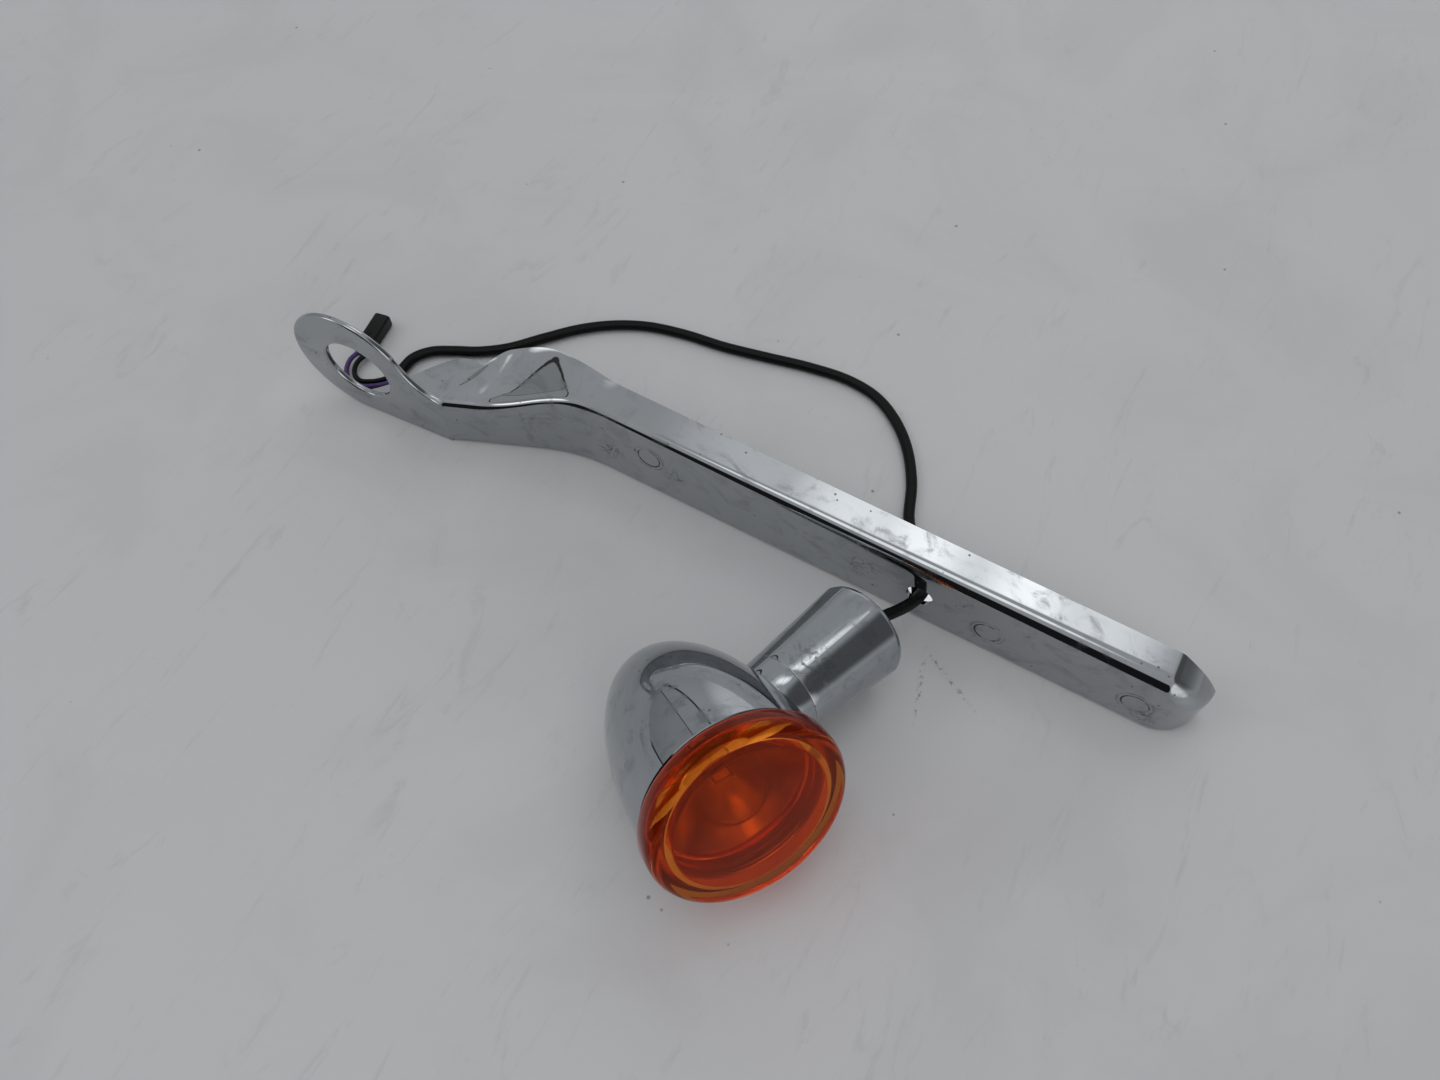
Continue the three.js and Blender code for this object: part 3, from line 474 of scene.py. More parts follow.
def tabOutline():
    # Bottom edge, the ring's arc, then the hollow neck down to the fold, all in the
    # tab's plane with X leftward from the fold.
    rim = tab["radius"]
    turn = np.radians(tab["neckTurn"])
    neckTop = cover["heightAtTab"]
    neckX, neckY = tab["reach"] + rim * np.cos(turn), tab["radius"] + rim * np.sin(turn)
    reach = (neckY - neckTop) / np.tan(turn - np.pi / 2)
    arc = np.linspace(-np.pi / 2, turn, 110)
    ring = np.stack([tab["reach"] + rim * np.cos(arc), tab["radius"] + rim * np.sin(arc)], axis=-1)
    t = np.linspace(0, 1, 30)[1:, None]
    middle = np.array([neckX - reach * 0.55, neckTop + 1.2])
    neck = (1 - t) ** 2 * ring[-1] + 2 * t * (1 - t) * middle + t * t * np.array([-1.2, neckTop])
    fold = np.stack([np.full(24, -1.2), np.linspace(neckTop, 0, 26)[1:-1]], axis=-1)
    base = np.stack([np.linspace(-1.2, tab["reach"], 40)[:-1], np.zeros(39)], axis=-1)
    return np.concatenate([base, ring, neck, fold])


def tabRing():
    # A flat strip between the hole and the outline, carried once round the hole; both
    # of its rims are quarter rounds on the front and the back.
    outline = tabOutline()
    centre = np.array([tab["reach"] + tab["holeShift"], tab["holeHeight"]])
    way = outline - centre
    distance = np.linalg.norm(way, axis=1)
    way /= distance[:, None]
    edge, thick = tab["edge"], tab["thickness"]
    turn = np.linspace(0, np.pi / 2, 6)
    across = np.linspace(0, 1, 10)[1:-1]
    holeRadius = tab["holeRadius"]
    # Each point: share across the strip, millimetres in from that rim, and depth.
    profile = [(0.0, edge * (1 - np.cos(a)), edge * (1 - np.sin(a))) for a in turn]
    profile += [(s, 0.0, 0.0) for s in across]
    profile += [(1.0, -edge * (1 - np.sin(a)), edge * (1 - np.cos(a))) for a in turn]
    profile += [(1.0, -edge * (1 - np.cos(a)), thick - edge * (1 - np.sin(a))) for a in turn]
    profile += [(s, 0.0, thick) for s in across[::-1]]
    profile += [(0.0, edge * (1 - np.sin(a)), thick - edge * (1 - np.cos(a))) for a in turn]
    profile = np.array(profile)
    share, offset, depth = profile.T
    radius = holeRadius + offset + share * (distance[:, None] - holeRadius)
    flat = centre + way[:, None] * radius[..., None]
    yaw = tab["yaw"]
    along = np.array([-np.cos(yaw), -np.sin(yaw), 0])
    back = np.array([-np.sin(yaw), np.cos(yaw), 0])
    start = np.array([cover["tabStart"], float(webFace(cover["tabStart"])), 0])
    grid = (start + flat[..., 0, None] * along + depth[None, :, None] * back
            + flat[..., 1, None] * np.array([0, 0, 1.0]))
    faces = gridFaces(*grid.shape[:2], True, True)
    return meshPiece("tab", fromDatum(grid.reshape(-1, 3)), faces)


def footPlate():
    # The lower flange's spread behind the tab: for each X, a rounded strip from the
    # front edge to the back edge, given as two broken lines.
    start = cover["tabStart"]
    ringX, ringY = start - tab["reach"], float(webFace(start)) - tab["yaw"] * tab["reach"]
    depth = cover["flangeDepth"]
    end = cover["straightStart"] - 0.5
    front = [(ringX - 6.5, ringY + 4.6), (ringX, ringY + 1), (start, float(webFace(start)) + 1.4)]
    front = np.array(front + [(x, float(webFace(x)) + 2.2) for x in np.linspace(start + 2, end, 16)])
    rear = rounded([(ringX - 6.6, ringY + 4.7), (ringX, ringY + 12.2), (ringX + 12.9, depth - 5.2),
                    (ringX + 19, depth + 1.4), (cover["flareStart"], depth + 0.1),
                    (end, depth - 0.3)], 7, 8)
    x = np.unique(np.concatenate([np.linspace(ringX - 6.4, ringX + 30, 70),
                                  np.linspace(ringX + 30, end, 50)]))
    y0, y1 = np.interp(x, *front.T), np.interp(x, *rear.T)
    y1 = np.maximum(y1, y0 + 0.4)
    low, high, lip = 0.05, cover["wall"] - 0.05, 0.3
    share = np.linspace(0, 1, 9)
    insideY = y0[:, None] + lip + (y1 - y0 - 2 * lip)[:, None] * share
    ring = np.concatenate([insideY, y1[:, None], insideY[:, ::-1], y0[:, None]], axis=1)
    middle = [(low + high) / 2]
    level = np.concatenate([np.full(9, low), middle, np.full(9, high), middle])
    grid = np.stack([x[:, None] + 0 * ring, ring, level + 0 * ring], axis=-1)
    rows, columns = grid.shape[:2]
    faces = gridFaces(rows, columns) + endFaces(rows, columns)
    return meshPiece("foot", fromDatum(grid.reshape(-1, 3)), faces)


def holeTool():
    outline = [(0, -4), (leadHole["radius"], -4), (leadHole["radius"], 4), (0, 4)]
    points = turnedPoints(outline, 96)
    stood = np.stack([points[..., 0] + leadHole["x"], points[..., 2],
                      points[..., 1] + leadHole["z"]], axis=-1)
    return meshPiece("tool", fromDatum(stood.reshape(-1, 3)), gridFaces(4, 96))


coverPiece = joinedPiece("cover_skin", [cutBy(coverChannel(), holeTool()), tabRing(), footPlate()])
print("strut cover made")

bullet = dict(radius=30.9, length=69.6, power=2.2, wall=2.2, mouth=-11.8)
stemShape = dict(collarRadius=15, proud=2.6, length=39, endRadius=18.3, floor=4.5, wall=3.3,
                 gap=0.3, seam=0.1, bore=5.4, insertLength=13, insertSetback=0.6)
lens = dict(radius=32.6, depth=10.3, wall=2.2, skirt=6, rim=3.4)
skirtRadius = bullet["radius"] - bullet["wall"] - stemShape["gap"]


def bulletRadius(behind, mouth, length):
    return mouth * np.sqrt(np.maximum(0, 1 - (behind / length) ** bullet["power"]))


def bulletCurve(mouth, length, steps):
    # Radius against distance behind the mouth: one less a power of it, under a root.
    share = 1 - (1 - np.linspace(0, 1, steps)) ** 2
    curve = np.stack([bulletRadius(length * share, mouth, length),
                      bullet["mouth"] - length * share], axis=-1)
    curve[-1, 0] = 0
    return curve


def bulletShell():
    outer = bulletCurve(bullet["radius"], bullet["length"], 70)
    inner = bulletCurve(bullet["radius"] - bullet["wall"], bullet["length"] - bullet["wall"], 40)
    bevel, mouth = 0.3, bullet["mouth"]
    rim = np.array([(bullet["radius"] - bevel, mouth), (inner[0, 0] + bevel, mouth)])
    outer[0, 1] -= bevel
    outline = np.concatenate([inner[::-1], rim[::-1], outer])
    shell = turnedPiece("shell", outline, fromLamp, 160, False, 50)
    face = bullet["radius"] + stemShape["proud"]
    radius = stemShape["collarRadius"]
    bore = stemShape["bore"]
    drill = [(0, 15), (bore, 15), (bore, face + 2), (0, face + 2)]
    tool = turnedPiece("tool", drill, fromStem, 96)
    cutBy(shell, tool)
    # The collar: a short drum whose foot is inside the bullet's wall.
    slope = (stemShape["endRadius"] - radius) / stemShape["length"]
    foot = 24.6
    outline = rounded([(bore, face), (radius, face), (radius - slope * (face - foot), foot),
                       (12, foot - 0.4), (bore, foot - 0.4)], 0.2).tolist() + [(bore, face)]
    collar = turnedPiece("collar", outline, fromStem, 128, False, 40)
    return joinedPiece("bullet_skin", [shell, collar])


def stemCone():
    end = bullet["radius"] + stemShape["proud"] + stemShape["gap"] + stemShape["length"]
    start = bullet["radius"] + stemShape["proud"] + stemShape["seam"]
    pocket = start + stemShape["floor"]
    seat = end - stemShape["insertLength"] - stemShape["insertSetback"] - stemShape["gap"]
    mouth = stemShape["endRadius"] - stemShape["wall"] - 2.4
    inner = stemShape["collarRadius"] - stemShape["wall"]
    outer = rounded([(stemShape["bore"], start), (stemShape["collarRadius"] - 0.1, start),
                     (stemShape["endRadius"] - 0.5, end - 1.6), (stemShape["endRadius"] - 1.2, end),
                     (mouth, end), (mouth, seat), (inner, seat - 3), (inner, pocket),
                     (stemShape["bore"], pocket), (stemShape["bore"], start)], 0.3)
    return turnedPiece("stem_skin", refined(outer, 3.0), fromStem, 144, False, 40)


def lensCap():
    # Flat clear front, a thick rounded rim, and a skirt whose inside is stepped.
    back, rim = -lens["depth"], lens["rim"]
    shoulder = lens["radius"] - rim
    turn = np.linspace(np.pi / 2, 0, 22)
    bulge = np.stack([shoulder + rim * np.cos(turn), -5.4 + 4.6 * np.sin(turn)], axis=-1)
    share = np.linspace(0, 1, 14)[:-1]
    front = np.stack([shoulder * share, -0.8 * share ** 3], axis=-1)
    skirtInner = skirtRadius - lens["wall"]
    steps = []
    for k in range(3):
        radius, level = skirtInner - 0.7 * (2 - k), back - lens["skirt"] + 1.6 + 2.9 * k
        steps += [(radius, level - 1.5), (radius, level), (radius + 0.7, level + 0.4)]
    rest = [(lens["radius"], back + 1.2), (lens["radius"] - 0.7, back), (skirtRadius, back),
            (skirtRadius, back - lens["skirt"] + 0.5), (skirtRadius - 0.5, back - lens["skirt"]),
            (skirtInner - 1.4, back - lens["skirt"])] + steps
    rest += [(skirtInner + 0.7, -lens["wall"] - 2.6), (skirtInner - 1.3, -lens["wall"] - 0.6),
             (0, -lens["wall"])]
    outline = np.concatenate([front, bulge, rounded(rest, 0.35, 4)])
    return turnedPiece("lens_skin", outline, fromLamp, 160, False, 50)


bowl = dict(socketFront=37.6, mouth=17.5, neck=9.6, wall=0.8)


def reflectorBowl():
    # Radius squared grows evenly from the socket to the rim: a parabola of turning.
    rim, edge = skirtRadius - 2.6, skirtRadius - 0.4
    share = np.linspace(0, 1, 40)
    radius = np.sqrt(bowl["neck"] ** 2 + (rim ** 2 - bowl["neck"] ** 2) * share)
    level = -bowl["socketFront"] + (bowl["socketFront"] - bowl["mouth"]) * share
    inside = np.stack([radius, level], axis=-1)
    outside = np.stack([radius + bowl["wall"], level], axis=-1)[::-1]
    brim = np.array([(edge, -bowl["mouth"]), (edge, -bowl["mouth"] - bowl["wall"])])
    outline = np.concatenate([inside, brim, outside[1:], inside[:1]])
    return turnedPiece("reflector_skin", outline, fromLamp, 144, False, 40)


bulb = dict(radius=13.25, tip=6.6, neck=6.6, wall=0.7, capFront=35.8)


def bulbGlass():
    centre = -(bulb["tip"] + bulb["radius"])

    def arc(radius, neck, steps=44):
        angle = np.linspace(0, np.pi - np.arcsin(neck / radius), steps)
        return np.stack([radius * np.sin(angle), centre + radius * np.cos(angle)], axis=-1)

    neckEnd = -(bulb["capFront"] + 5)
    outer = arc(bulb["radius"], bulb["neck"])
    inner = arc(bulb["radius"] - bulb["wall"], bulb["neck"] - bulb["wall"])
    neck = np.array([(bulb["neck"], neckEnd), (bulb["neck"] - bulb["wall"], neckEnd)])
    outline = np.concatenate([outer, neck, inner[::-1]])
    return turnedPiece("bulb_skin", outline, fromLamp, 96, False, 40)


bulletPiece, stemPiece, lensPiece = bulletShell(), stemCone(), lensCap()
reflectorPiece, bulbPiece = reflectorBowl(), bulbGlass()
print("lamp made")

connector = dict(place=(-208.2, -4, 0.2), turn=11, length=20, width=7, height=6, edge=0.6,
                 spacing=3.6, cavity=2.4, cavityDepth=13)


def placeConnector(points):
    turn = np.radians(connector["turn"])
    points = np.asarray(points, float)
    x, y, z = points[..., 0], points[..., 1], points[..., 2]
    turned = np.stack([x * np.cos(turn) - y * np.sin(turn), x * np.sin(turn) + y * np.cos(turn), z],
                      axis=-1)
    return fromDatum(turned + np.array(connector["place"]))


def superBlock(width, height, levels, power=6.0, sides=72):
    # A rounded oblong section that swells and narrows along Y: the offsets are cosine
    # and sine raised to a small power, which squares the circle off.
    turn = 2 * np.pi * np.arange(sides) / sides
    x = np.sign(np.cos(turn)) * np.abs(np.cos(turn)) ** (2 / power)
    z = np.sign(np.sin(turn)) * np.abs(np.sin(turn)) ** (2 / power)
    rows = []
    for y, size in levels:
        rows.append(np.stack([x * (width / 2 - size), np.full(sides, y),
                              z * (height / 2 - size) + height / 2], axis=-1))
    return np.array(rows)


def connectorBody():
    length, edge = connector["length"], connector["edge"]
    levels = [(0, 3.0), (0, edge), (0.25, 0.2), (edge, 0.0), (3.0, 0.0), (3.3, 0.35), (6.2, 0.35),
              (6.5, 0.0), (length - edge, 0.0), (length - 0.2, 0.2), (length, edge), (length, 3.0)]
    grid = superBlock(connector["width"], connector["height"], levels)
    rows, columns = grid.shape[:2]
    faces = gridFaces(rows, columns) + endFaces(rows, columns)
    body = meshPiece("connector_skin", placeConnector(grid.reshape(-1, 3)), faces)
    for side in (-1, 1):
        levels = [(length - connector["cavityDepth"], 0), (length + 1, 0)]
        hole = superBlock(connector["cavity"], connector["cavity"], levels, 8.0, 40)
        hole = hole + np.array([side * connector["spacing"] / 2, 0,
                                (connector["height"] - connector["cavity"]) / 2])
        faces = gridFaces(2, 40) + endFaces(2, 40)
        cutBy(body, meshPiece("tool", placeConnector(hole.reshape(-1, 3)), faces))
    # The locking latch on top, a thin tongue with a raised catch.
    levels = [(2.2, 0.5), (2.4, 0.05), (9.2, 0.05), (9.5, 0.5)]
    tongue = superBlock(2.6, 0.9, levels, 6.0, 40) + np.array([0, 0, connector["height"] - 0.85])
    faces = gridFaces(4, 40) + endFaces(4, 40)
    latch = meshPiece("latch", placeConnector(tongue.reshape(-1, 3)), faces)
    return joinedPiece("connector_skin", [body, latch])


connectorPiece = connectorBody()
print("connector made")

def linear(code):
    # An sRGB hex value turned to linear, with an alpha of one.
    value = np.array([int(code[i:i + 2], 16) for i in (1, 3, 5)]) / 255
    low, high = value / 12.92, ((value + 0.055) / 1.055) ** 2.4
    return (*np.where(value <= 0.04045, low, high).tolist(), 1.0)


def feed(tree, node, inputs):
    # Sets inputs by name or number: a node is joined by its first live output, a socket
    # as it is, and anything else becomes the input's own value.
    for name, value in inputs.items():
        if isinstance(value, bpy.types.Node):
            value = next(socket for socket in value.outputs if socket.enabled)
        if isinstance(value, bpy.types.NodeSocket):
            tree.links.new(value, node.inputs[name])
        else:
            node.inputs[name].default_value = value


def add(tree, kind, inputs=None, **settings):
    # One node with its settings and what feeds it.
    node = tree.nodes.new("ShaderNode" + kind)
    for name, value in settings.items():
        setattr(node, name, value)
    feed(tree, node, inputs or {})
    return node


soft = dict(interpolation_type="SMOOTHSTEP")  # for every Map Range
times = dict(operation="MULTIPLY")
plus = dict(operation="ADD")
colours = dict(data_type="RGBA")


def newMaterial(name):
    material = bpy.data.materials.new(name)
    material.use_nodes = True
    tree = material.node_tree
    tree.nodes.clear()
    shader = add(tree, "BsdfPrincipled")
    out = add(tree, "OutputMaterial", {"Surface": shader})
    return material, tree, shader, out


def millimetres(tree):
    coords = add(tree, "TexCoord")
    return add(tree, "VectorMath", {0: coords.outputs["Object"], 3: 1000.0}, operation="SCALE")


def placeMm(point):
    return (np.array(fromDatum(point)) / mm).tolist()


def distanceTo(tree, vector, point):
    return add(tree, "VectorMath", {0: vector, 1: tuple(placeMm(point))}, operation="DISTANCE")


# Millimetres for the sizes; the marks are where a stud was welded behind. The dark tone is the dirt of stains
# and pits; the weld shade colour is painted shade, dark rings laid where the welds' relief would catch shade.
chrome = dict(darkTone="#4c4e50", weldShadeColour="#232427", roughness=0.026, haze=0.2, waves=0.032, swell=26.0,
              draw=(0.05, 1.0, 1.0), drawSize=5.0, ring=4.7, ringWidth=0.5, halo=6.2, haloWidth=0.7,
              pitSpacing=7.0, pitLow=0.045, pitHigh=0.085)
coverPlate = dict(bright="#aeb1b4", dull="#85888c", hazeSize=16.0, hazeFrom=0.46, hazeTo=0.68,
                  grain=(0.25, 1.0, 1.0), drawLines=1.1)
lampPlate = dict(bright="#a9adb1", dull="#7f8387", hazeSize=13.0, hazeFrom=0.48, hazeTo=0.68,
                 grain=(1.0, 1.0, 1.0), drawLines=0.0)


def cloudyStain(tree, vector, stain):
    # A smudge with a ragged cloud inside it: one near its place, nothing at its radius.
    place, radius, size = stain
    near = add(tree, "MapRange", {0: distanceTo(tree, vector, place), 1: radius, 2: radius * 0.25}, **soft)
    puffs = add(tree, "TexNoise", {"Vector": vector, "Scale": 1 / size, "Detail": 5.0, "Roughness": 0.7,
                                   "Distortion": 1.0})
    cloud = add(tree, "MapRange", {0: puffs, 1: 0.46, 2: 0.62}, **soft)
    return add(tree, "Math", {0: near, 1: cloud}, **times)


def paintedWeldShade(tree, vector, place, radius, width, depth):
    # A painted shade line: dark where the distance from the weld's middle is the ring's radius, standing in
    # for the shade the welded ring's relief catches.
    past = add(tree, "Math", {0: distanceTo(tree, vector, place), 1: radius}, operation="SUBTRACT")
    gap = add(tree, "Math", {0: past}, operation="ABSOLUTE")
    return add(tree, "MapRange", {0: gap, 1: width, 2: width * 0.3, 3: 0.0, 4: depth}, **soft)


def largest(tree, masks):
    top = masks[0]
    for mask in masks[1:]:
        top = add(tree, "Math", {0: top, 1: mask}, operation="MAXIMUM")
    return top


def dirtiedAndShaded(tree, colour, rough, mask, darkTone, tone, grit):
    # Lays a darker tone over a finish where the mask says, dirt for stains and pits and painted shade for the
    # weld rings: a tone toward the given colour, and more roughness.
    toned = add(tree, "Math", {0: mask, 1: tone}, **times)
    gritty = add(tree, "Math", {0: mask, 1: grit}, **times)
    return (add(tree, "Mix", {0: toned, 6: colour, 7: linear(darkTone)}, **colours),
            add(tree, "Math", {0: rough, 1: gritty}, **plus))


def platedChrome(name, plate, stains, rings):
    # Chromium plate over polished nickel: a hard mirror, slightly wavy from pressing,
    # with dried water marks that turn it milky and pinholes where the plate has lifted; at the given rings,
    # painted dark lines of shade.
    material, tree, shader, out = newMaterial(name)
    vector = millimetres(tree)
    patches = add(tree, "TexNoise", {"Vector": vector, "Scale": 1 / plate["hazeSize"], "Detail": 6.0,
                                     "Roughness": 0.62, "Distortion": 1.6})
    milky = add(tree, "MapRange", {0: patches, 1: plate["hazeFrom"], 2: plate["hazeTo"]}, **soft)
    wiping = add(tree, "Mapping", {"Vector": vector, "Scale": plate["grain"]})
    streaks = add(tree, "TexNoise", {"Vector": wiping, "Scale": 1 / 5.0, "Detail": 5.0, "Roughness": 0.6,
                                     "Distortion": 0.6})
    wiped = add(tree, "MapRange", {0: streaks, 1: 0.3, 2: 0.62}, **soft)
    haze = add(tree, "Math", {0: milky, 1: wiped}, **times)
    milkiness = add(tree, "Math", {0: haze, 1: 0.55}, **times)
    colour = add(tree, "Mix", {0: milkiness, 6: linear(plate["bright"]), 7: linear(plate["dull"])}, **colours)
    rough = add(tree, "Math", {0: haze, 1: chrome["haze"], 2: chrome["roughness"]}, operation="MULTIPLY_ADD")
    specks = add(tree, "TexVoronoi", {"Vector": vector, "Scale": 1 / chrome["pitSpacing"], "Randomness": 1.0})
    pits = add(tree, "MapRange", {0: specks, 1: chrome["pitHigh"], 2: chrome["pitLow"]}, **soft)
    colour, rough = dirtiedAndShaded(tree, colour, rough, pits, chrome["darkTone"], 0.6, 0.3)
    smudge = largest(tree, [cloudyStain(tree, vector, stain) for stain in stains])
    colour, rough = dirtiedAndShaded(tree, colour, rough, smudge, chrome["darkTone"], 0.6, 0.25)
    # Painted shade: broken dark rings at the weld marks, standing in for the shade their relief catches in
    # the mirror; they are not dirt.
    if rings:
        lines = []
        for place in rings:
            lines.append(paintedWeldShade(tree, vector, place, chrome["ring"], chrome["ringWidth"], 1.0))
            lines.append(paintedWeldShade(tree, vector, place, chrome["halo"], chrome["haloWidth"], 0.35))
        chips = add(tree, "TexNoise", {"Vector": vector, "Scale": 1 / 5.0, "Detail": 3.0, "Roughness": 0.6})
        broken = add(tree, "MapRange", {0: chips, 1: 0.42, 2: 0.56, 3: 0.15, 4: 1.0}, **soft)
        weldShadeMask = add(tree, "Math", {0: largest(tree, lines), 1: broken}, **times)
        colour, rough = dirtiedAndShaded(tree, colour, rough, weldShadeMask, chrome["weldShadeColour"], 0.95, 0.15)
    swell = add(tree, "TexNoise", {"Vector": vector, "Scale": 1 / chrome["swell"], "Detail": 2.0,
                                   "Roughness": 0.45, "Distortion": 0.3})
    drawing = add(tree, "Mapping", {"Vector": vector, "Scale": chrome["draw"]})
    drawn = add(tree, "TexNoise", {"Vector": drawing, "Scale": 1 / chrome["drawSize"], "Detail": 2.0,
                                   "Roughness": 0.4})
    ridges = add(tree, "Math", {0: drawn, 1: plate["drawLines"]}, **times)
    height = add(tree, "Math", {0: swell, 1: ridges}, **plus)
    feed(tree, shader, {
        "Base Color": colour, "Roughness": rough, "Metallic": 1.0,
        "Normal": add(tree, "Bump", {"Height": height, "Distance": chrome["waves"] * mm, "Strength": 1.0})})
    return material


def metal(name, colour, dark, roughness, size, grain=(1.0, 1.0, 1.0), spread=0.12):
    # Bare or plated metal inside the lamp: a broad tone, cloudy at a few millimetres,
    # rougher where it is darker.
    material, tree, shader, out = newMaterial(name)
    vector = add(tree, "Mapping", {"Vector": millimetres(tree), "Scale": grain})
    clouds = add(tree, "TexNoise", {"Vector": vector, "Scale": 1 / size, "Detail": 5.0, "Roughness": 0.6})
    cloud = add(tree, "MapRange", {0: clouds, 1: 0.35, 2: 0.65}, **soft)
    fine = add(tree, "TexNoise", {"Vector": vector, "Scale": 6 / size, "Detail": 3.0, "Roughness": 0.55})
    feed(tree, shader, {
        "Base Color": add(tree, "Mix", {0: cloud, 6: linear(colour), 7: linear(dark)}, **colours),
        "Roughness": add(tree, "MapRange", {0: cloud, 3: roughness, 4: roughness + spread}, **soft),
        "Metallic": 1.0,
        "Normal": add(tree, "Bump", {"Height": fine, "Distance": 0.02 * mm, "Strength": 1.0})})
    return material


def moulded(name, colour, light, roughness, size, bump=0.02, dust=0.35, shine=0.5):
    # Rubber, vinyl and nylon: dark and even, with a fine moulded grain and pale dust
    # caught in it.
    material, tree, shader, out = newMaterial(name)
    vector = millimetres(tree)
    grain = add(tree, "TexNoise", {"Vector": vector, "Scale": 1 / size, "Detail": 4.0, "Roughness": 0.6})
    drifts = add(tree, "TexNoise", {"Vector": vector, "Scale": 1 / 4.0, "Detail": 6.0, "Roughness": 0.7,
                                    "Distortion": 0.8})
    powder = add(tree, "MapRange", {0: drifts, 1: 0.52, 2: 0.72, 3: 0.0, 4: dust}, **soft)
    rough = add(tree, "MapRange", {0: grain, 1: 0.3, 2: 0.7, 3: roughness - 0.06, 4: roughness + 0.1}, **soft)
    feed(tree, shader, {
        "Base Color": add(tree, "Mix", {0: powder, 6: linear(colour), 7: linear(light)}, **colours),
        "Roughness": rough,
        "Specular IOR Level": shine,
        "Normal": add(tree, "Bump", {"Height": grain, "Distance": bump * mm, "Strength": 1.0})})
    return material


def litThrough(tree, body, out, shade):
    # Light on its way to what lies behind passes a clear piece tinted, so its shadow is coloured.
    path = add(tree, "LightPath")
    clear = add(tree, "BsdfTransparent", {"Color": linear(shade)})
    mix = add(tree, "MixShader", {0: path.outputs["Is Shadow Ray"], 1: body, 2: clear})
    feed(tree, out, {"Surface": mix})


amber = dict(colour="#fb9430", deep="#f48629", ior=1.49, roughness=0.015, smeared=0.09, shade="#ff8a3c",
             glow="#f0680f", cloud=0.1, gloss="#ff9440")


def amberPlastic():
    # Injection moulded acrylic, dyed through: glassy, with a deeper colour where the
    # light crosses more of it. Light that falls through it colours the ground.
    material, tree, shader, out = newMaterial("amber moulded acrylic")
    vector = millimetres(tree)
    flow = add(tree, "TexNoise", {"Vector": vector, "Scale": 1 / 14.0, "Detail": 3.0, "Roughness": 0.55})
    cloud = add(tree, "MapRange", {0: flow, 1: 0.35, 2: 0.65}, **soft)
    fingers = add(tree, "TexNoise", {"Vector": vector, "Scale": 1 / 9.0, "Detail": 5.0, "Roughness": 0.65,
                                     "Distortion": 1.2})
    smear = add(tree, "MapRange", {0: fingers, 1: 0.5, 2: 0.75, 3: amber["roughness"], 4: amber["smeared"]},
                **soft)
    sink = add(tree, "TexNoise", {"Vector": vector, "Scale": 1 / 11.0, "Detail": 2.0, "Roughness": 0.55})
    tones = {0: cloud, 6: linear(amber["colour"]), 7: linear(amber["deep"])}
    feed(tree, shader, {
        "Base Color": add(tree, "Mix", tones, **colours),
        "Roughness": smear,
        "IOR": amber["ior"],
        "Specular Tint": linear(amber["gloss"]),
        "Transmission Weight": 1.0,
        "Normal": add(tree, "Bump", {"Height": sink, "Distance": 0.01 * mm, "Strength": 1.0})})
    dyed = add(tree, "BsdfTranslucent", {"Color": linear(amber["glow"])})
    body = add(tree, "MixShader", {0: amber["cloud"], 1: shader, 2: dyed})
    litThrough(tree, body, out, amber["shade"])
    return material


def thinGlass():
    # Drawn soda-lime glass: clear with a faint grey breath on it.
    material, tree, shader, out = newMaterial("drawn bulb glass")
    fog = add(tree, "TexNoise", {"Vector": millimetres(tree), "Scale": 1 / 8.0, "Detail": 4.0,
                                 "Roughness": 0.55})
    breath = add(tree, "MapRange", {0: fog, 1: 0.45, 2: 0.75, 3: 0.0, 4: 0.05}, **soft)
    feed(tree, shader, {
        "Base Color": add(tree, "Mix", {0: breath, 6: linear("#f6f8f8"), 7: linear("#d5d8d8")}, **colours),
        "Roughness": breath,
        "IOR": 1.5,
        "Transmission Weight": 1.0})
    litThrough(tree, shader, out, "#f4f4f4")
    return material


# Place in the datum, radius and the size of the cloud's puffs.
coverStains = [((-118, -12, 20), 9, 2.2), ((-86, 0, 14), 8, 2.0), ((-58, 0, 17), 7, 1.8),
               ((20, 0, 17), 9, 2.6), ((126, 2, 8), 8, 2.0)]
lampStains = [((-8, -108, 30), 16, 3.0), ((-14, -96, 20), 14, 2.6), ((24, -52, 38), 12, 3.2)]
ringPlaces = [(x, 0, z) for x, z in weldMarks]
coverChrome = platedChrome("chrome plate on pressed steel", coverPlate, coverStains, ringPlaces)
lampChrome = platedChrome("chrome plate on die-cast zinc", lampPlate, lampStains, [])
finishes = dict(
    chrome=coverChrome,
    amber_lens=amberPlastic(),
    rubber=moulded("matt moulded rubber", "#161617", "#3c3b39", 0.72, 0.8),
    reflector=metal("vacuum metallised bowl", "#dedede", "#b9b9b6", 0.09, 7.0, spread=0.08),
    zinc_plate=metal("dull zinc plate", "#a3a6a4", "#7d807d", 0.38, 3.0),
    steel=metal("turned steel", "#9da0a2", "#74777a", 0.28, 2.5, (1.0, 1.0, 4.0)),
    brass=metal("satin drawn brass", "#c49a48", "#8f6c2d", 0.3, 2.5),
    fibre=moulded("pressed brown fibre", "#6b4426", "#8d6843", 0.65, 0.7),
    bulb_glass=thinGlass(),
    solder=metal("soft solder", "#adada8", "#85857f", 0.35, 1.2),
    violet_wire=moulded("violet extruded vinyl", "#4b2d70", "#7a6590", 0.42, 0.9),
    black_wire=moulded("black extruded vinyl", "#040404", "#161514", 0.36, 0.9, 0.02, 0.12, 0.2),
    connector_plastic=moulded("black moulded nylon", "#060606", "#1b1b1a", 0.4, 0.7, 0.015, 0.15, 0.25),
)
print("materials made")


def dress(piece, body, slotName, material=None, *nodes):
    piece.data.materials.clear()
    piece.data.materials.append(material or finishes[slotName])
    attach(piece, body)
    if nodes:
        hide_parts(*nodes)


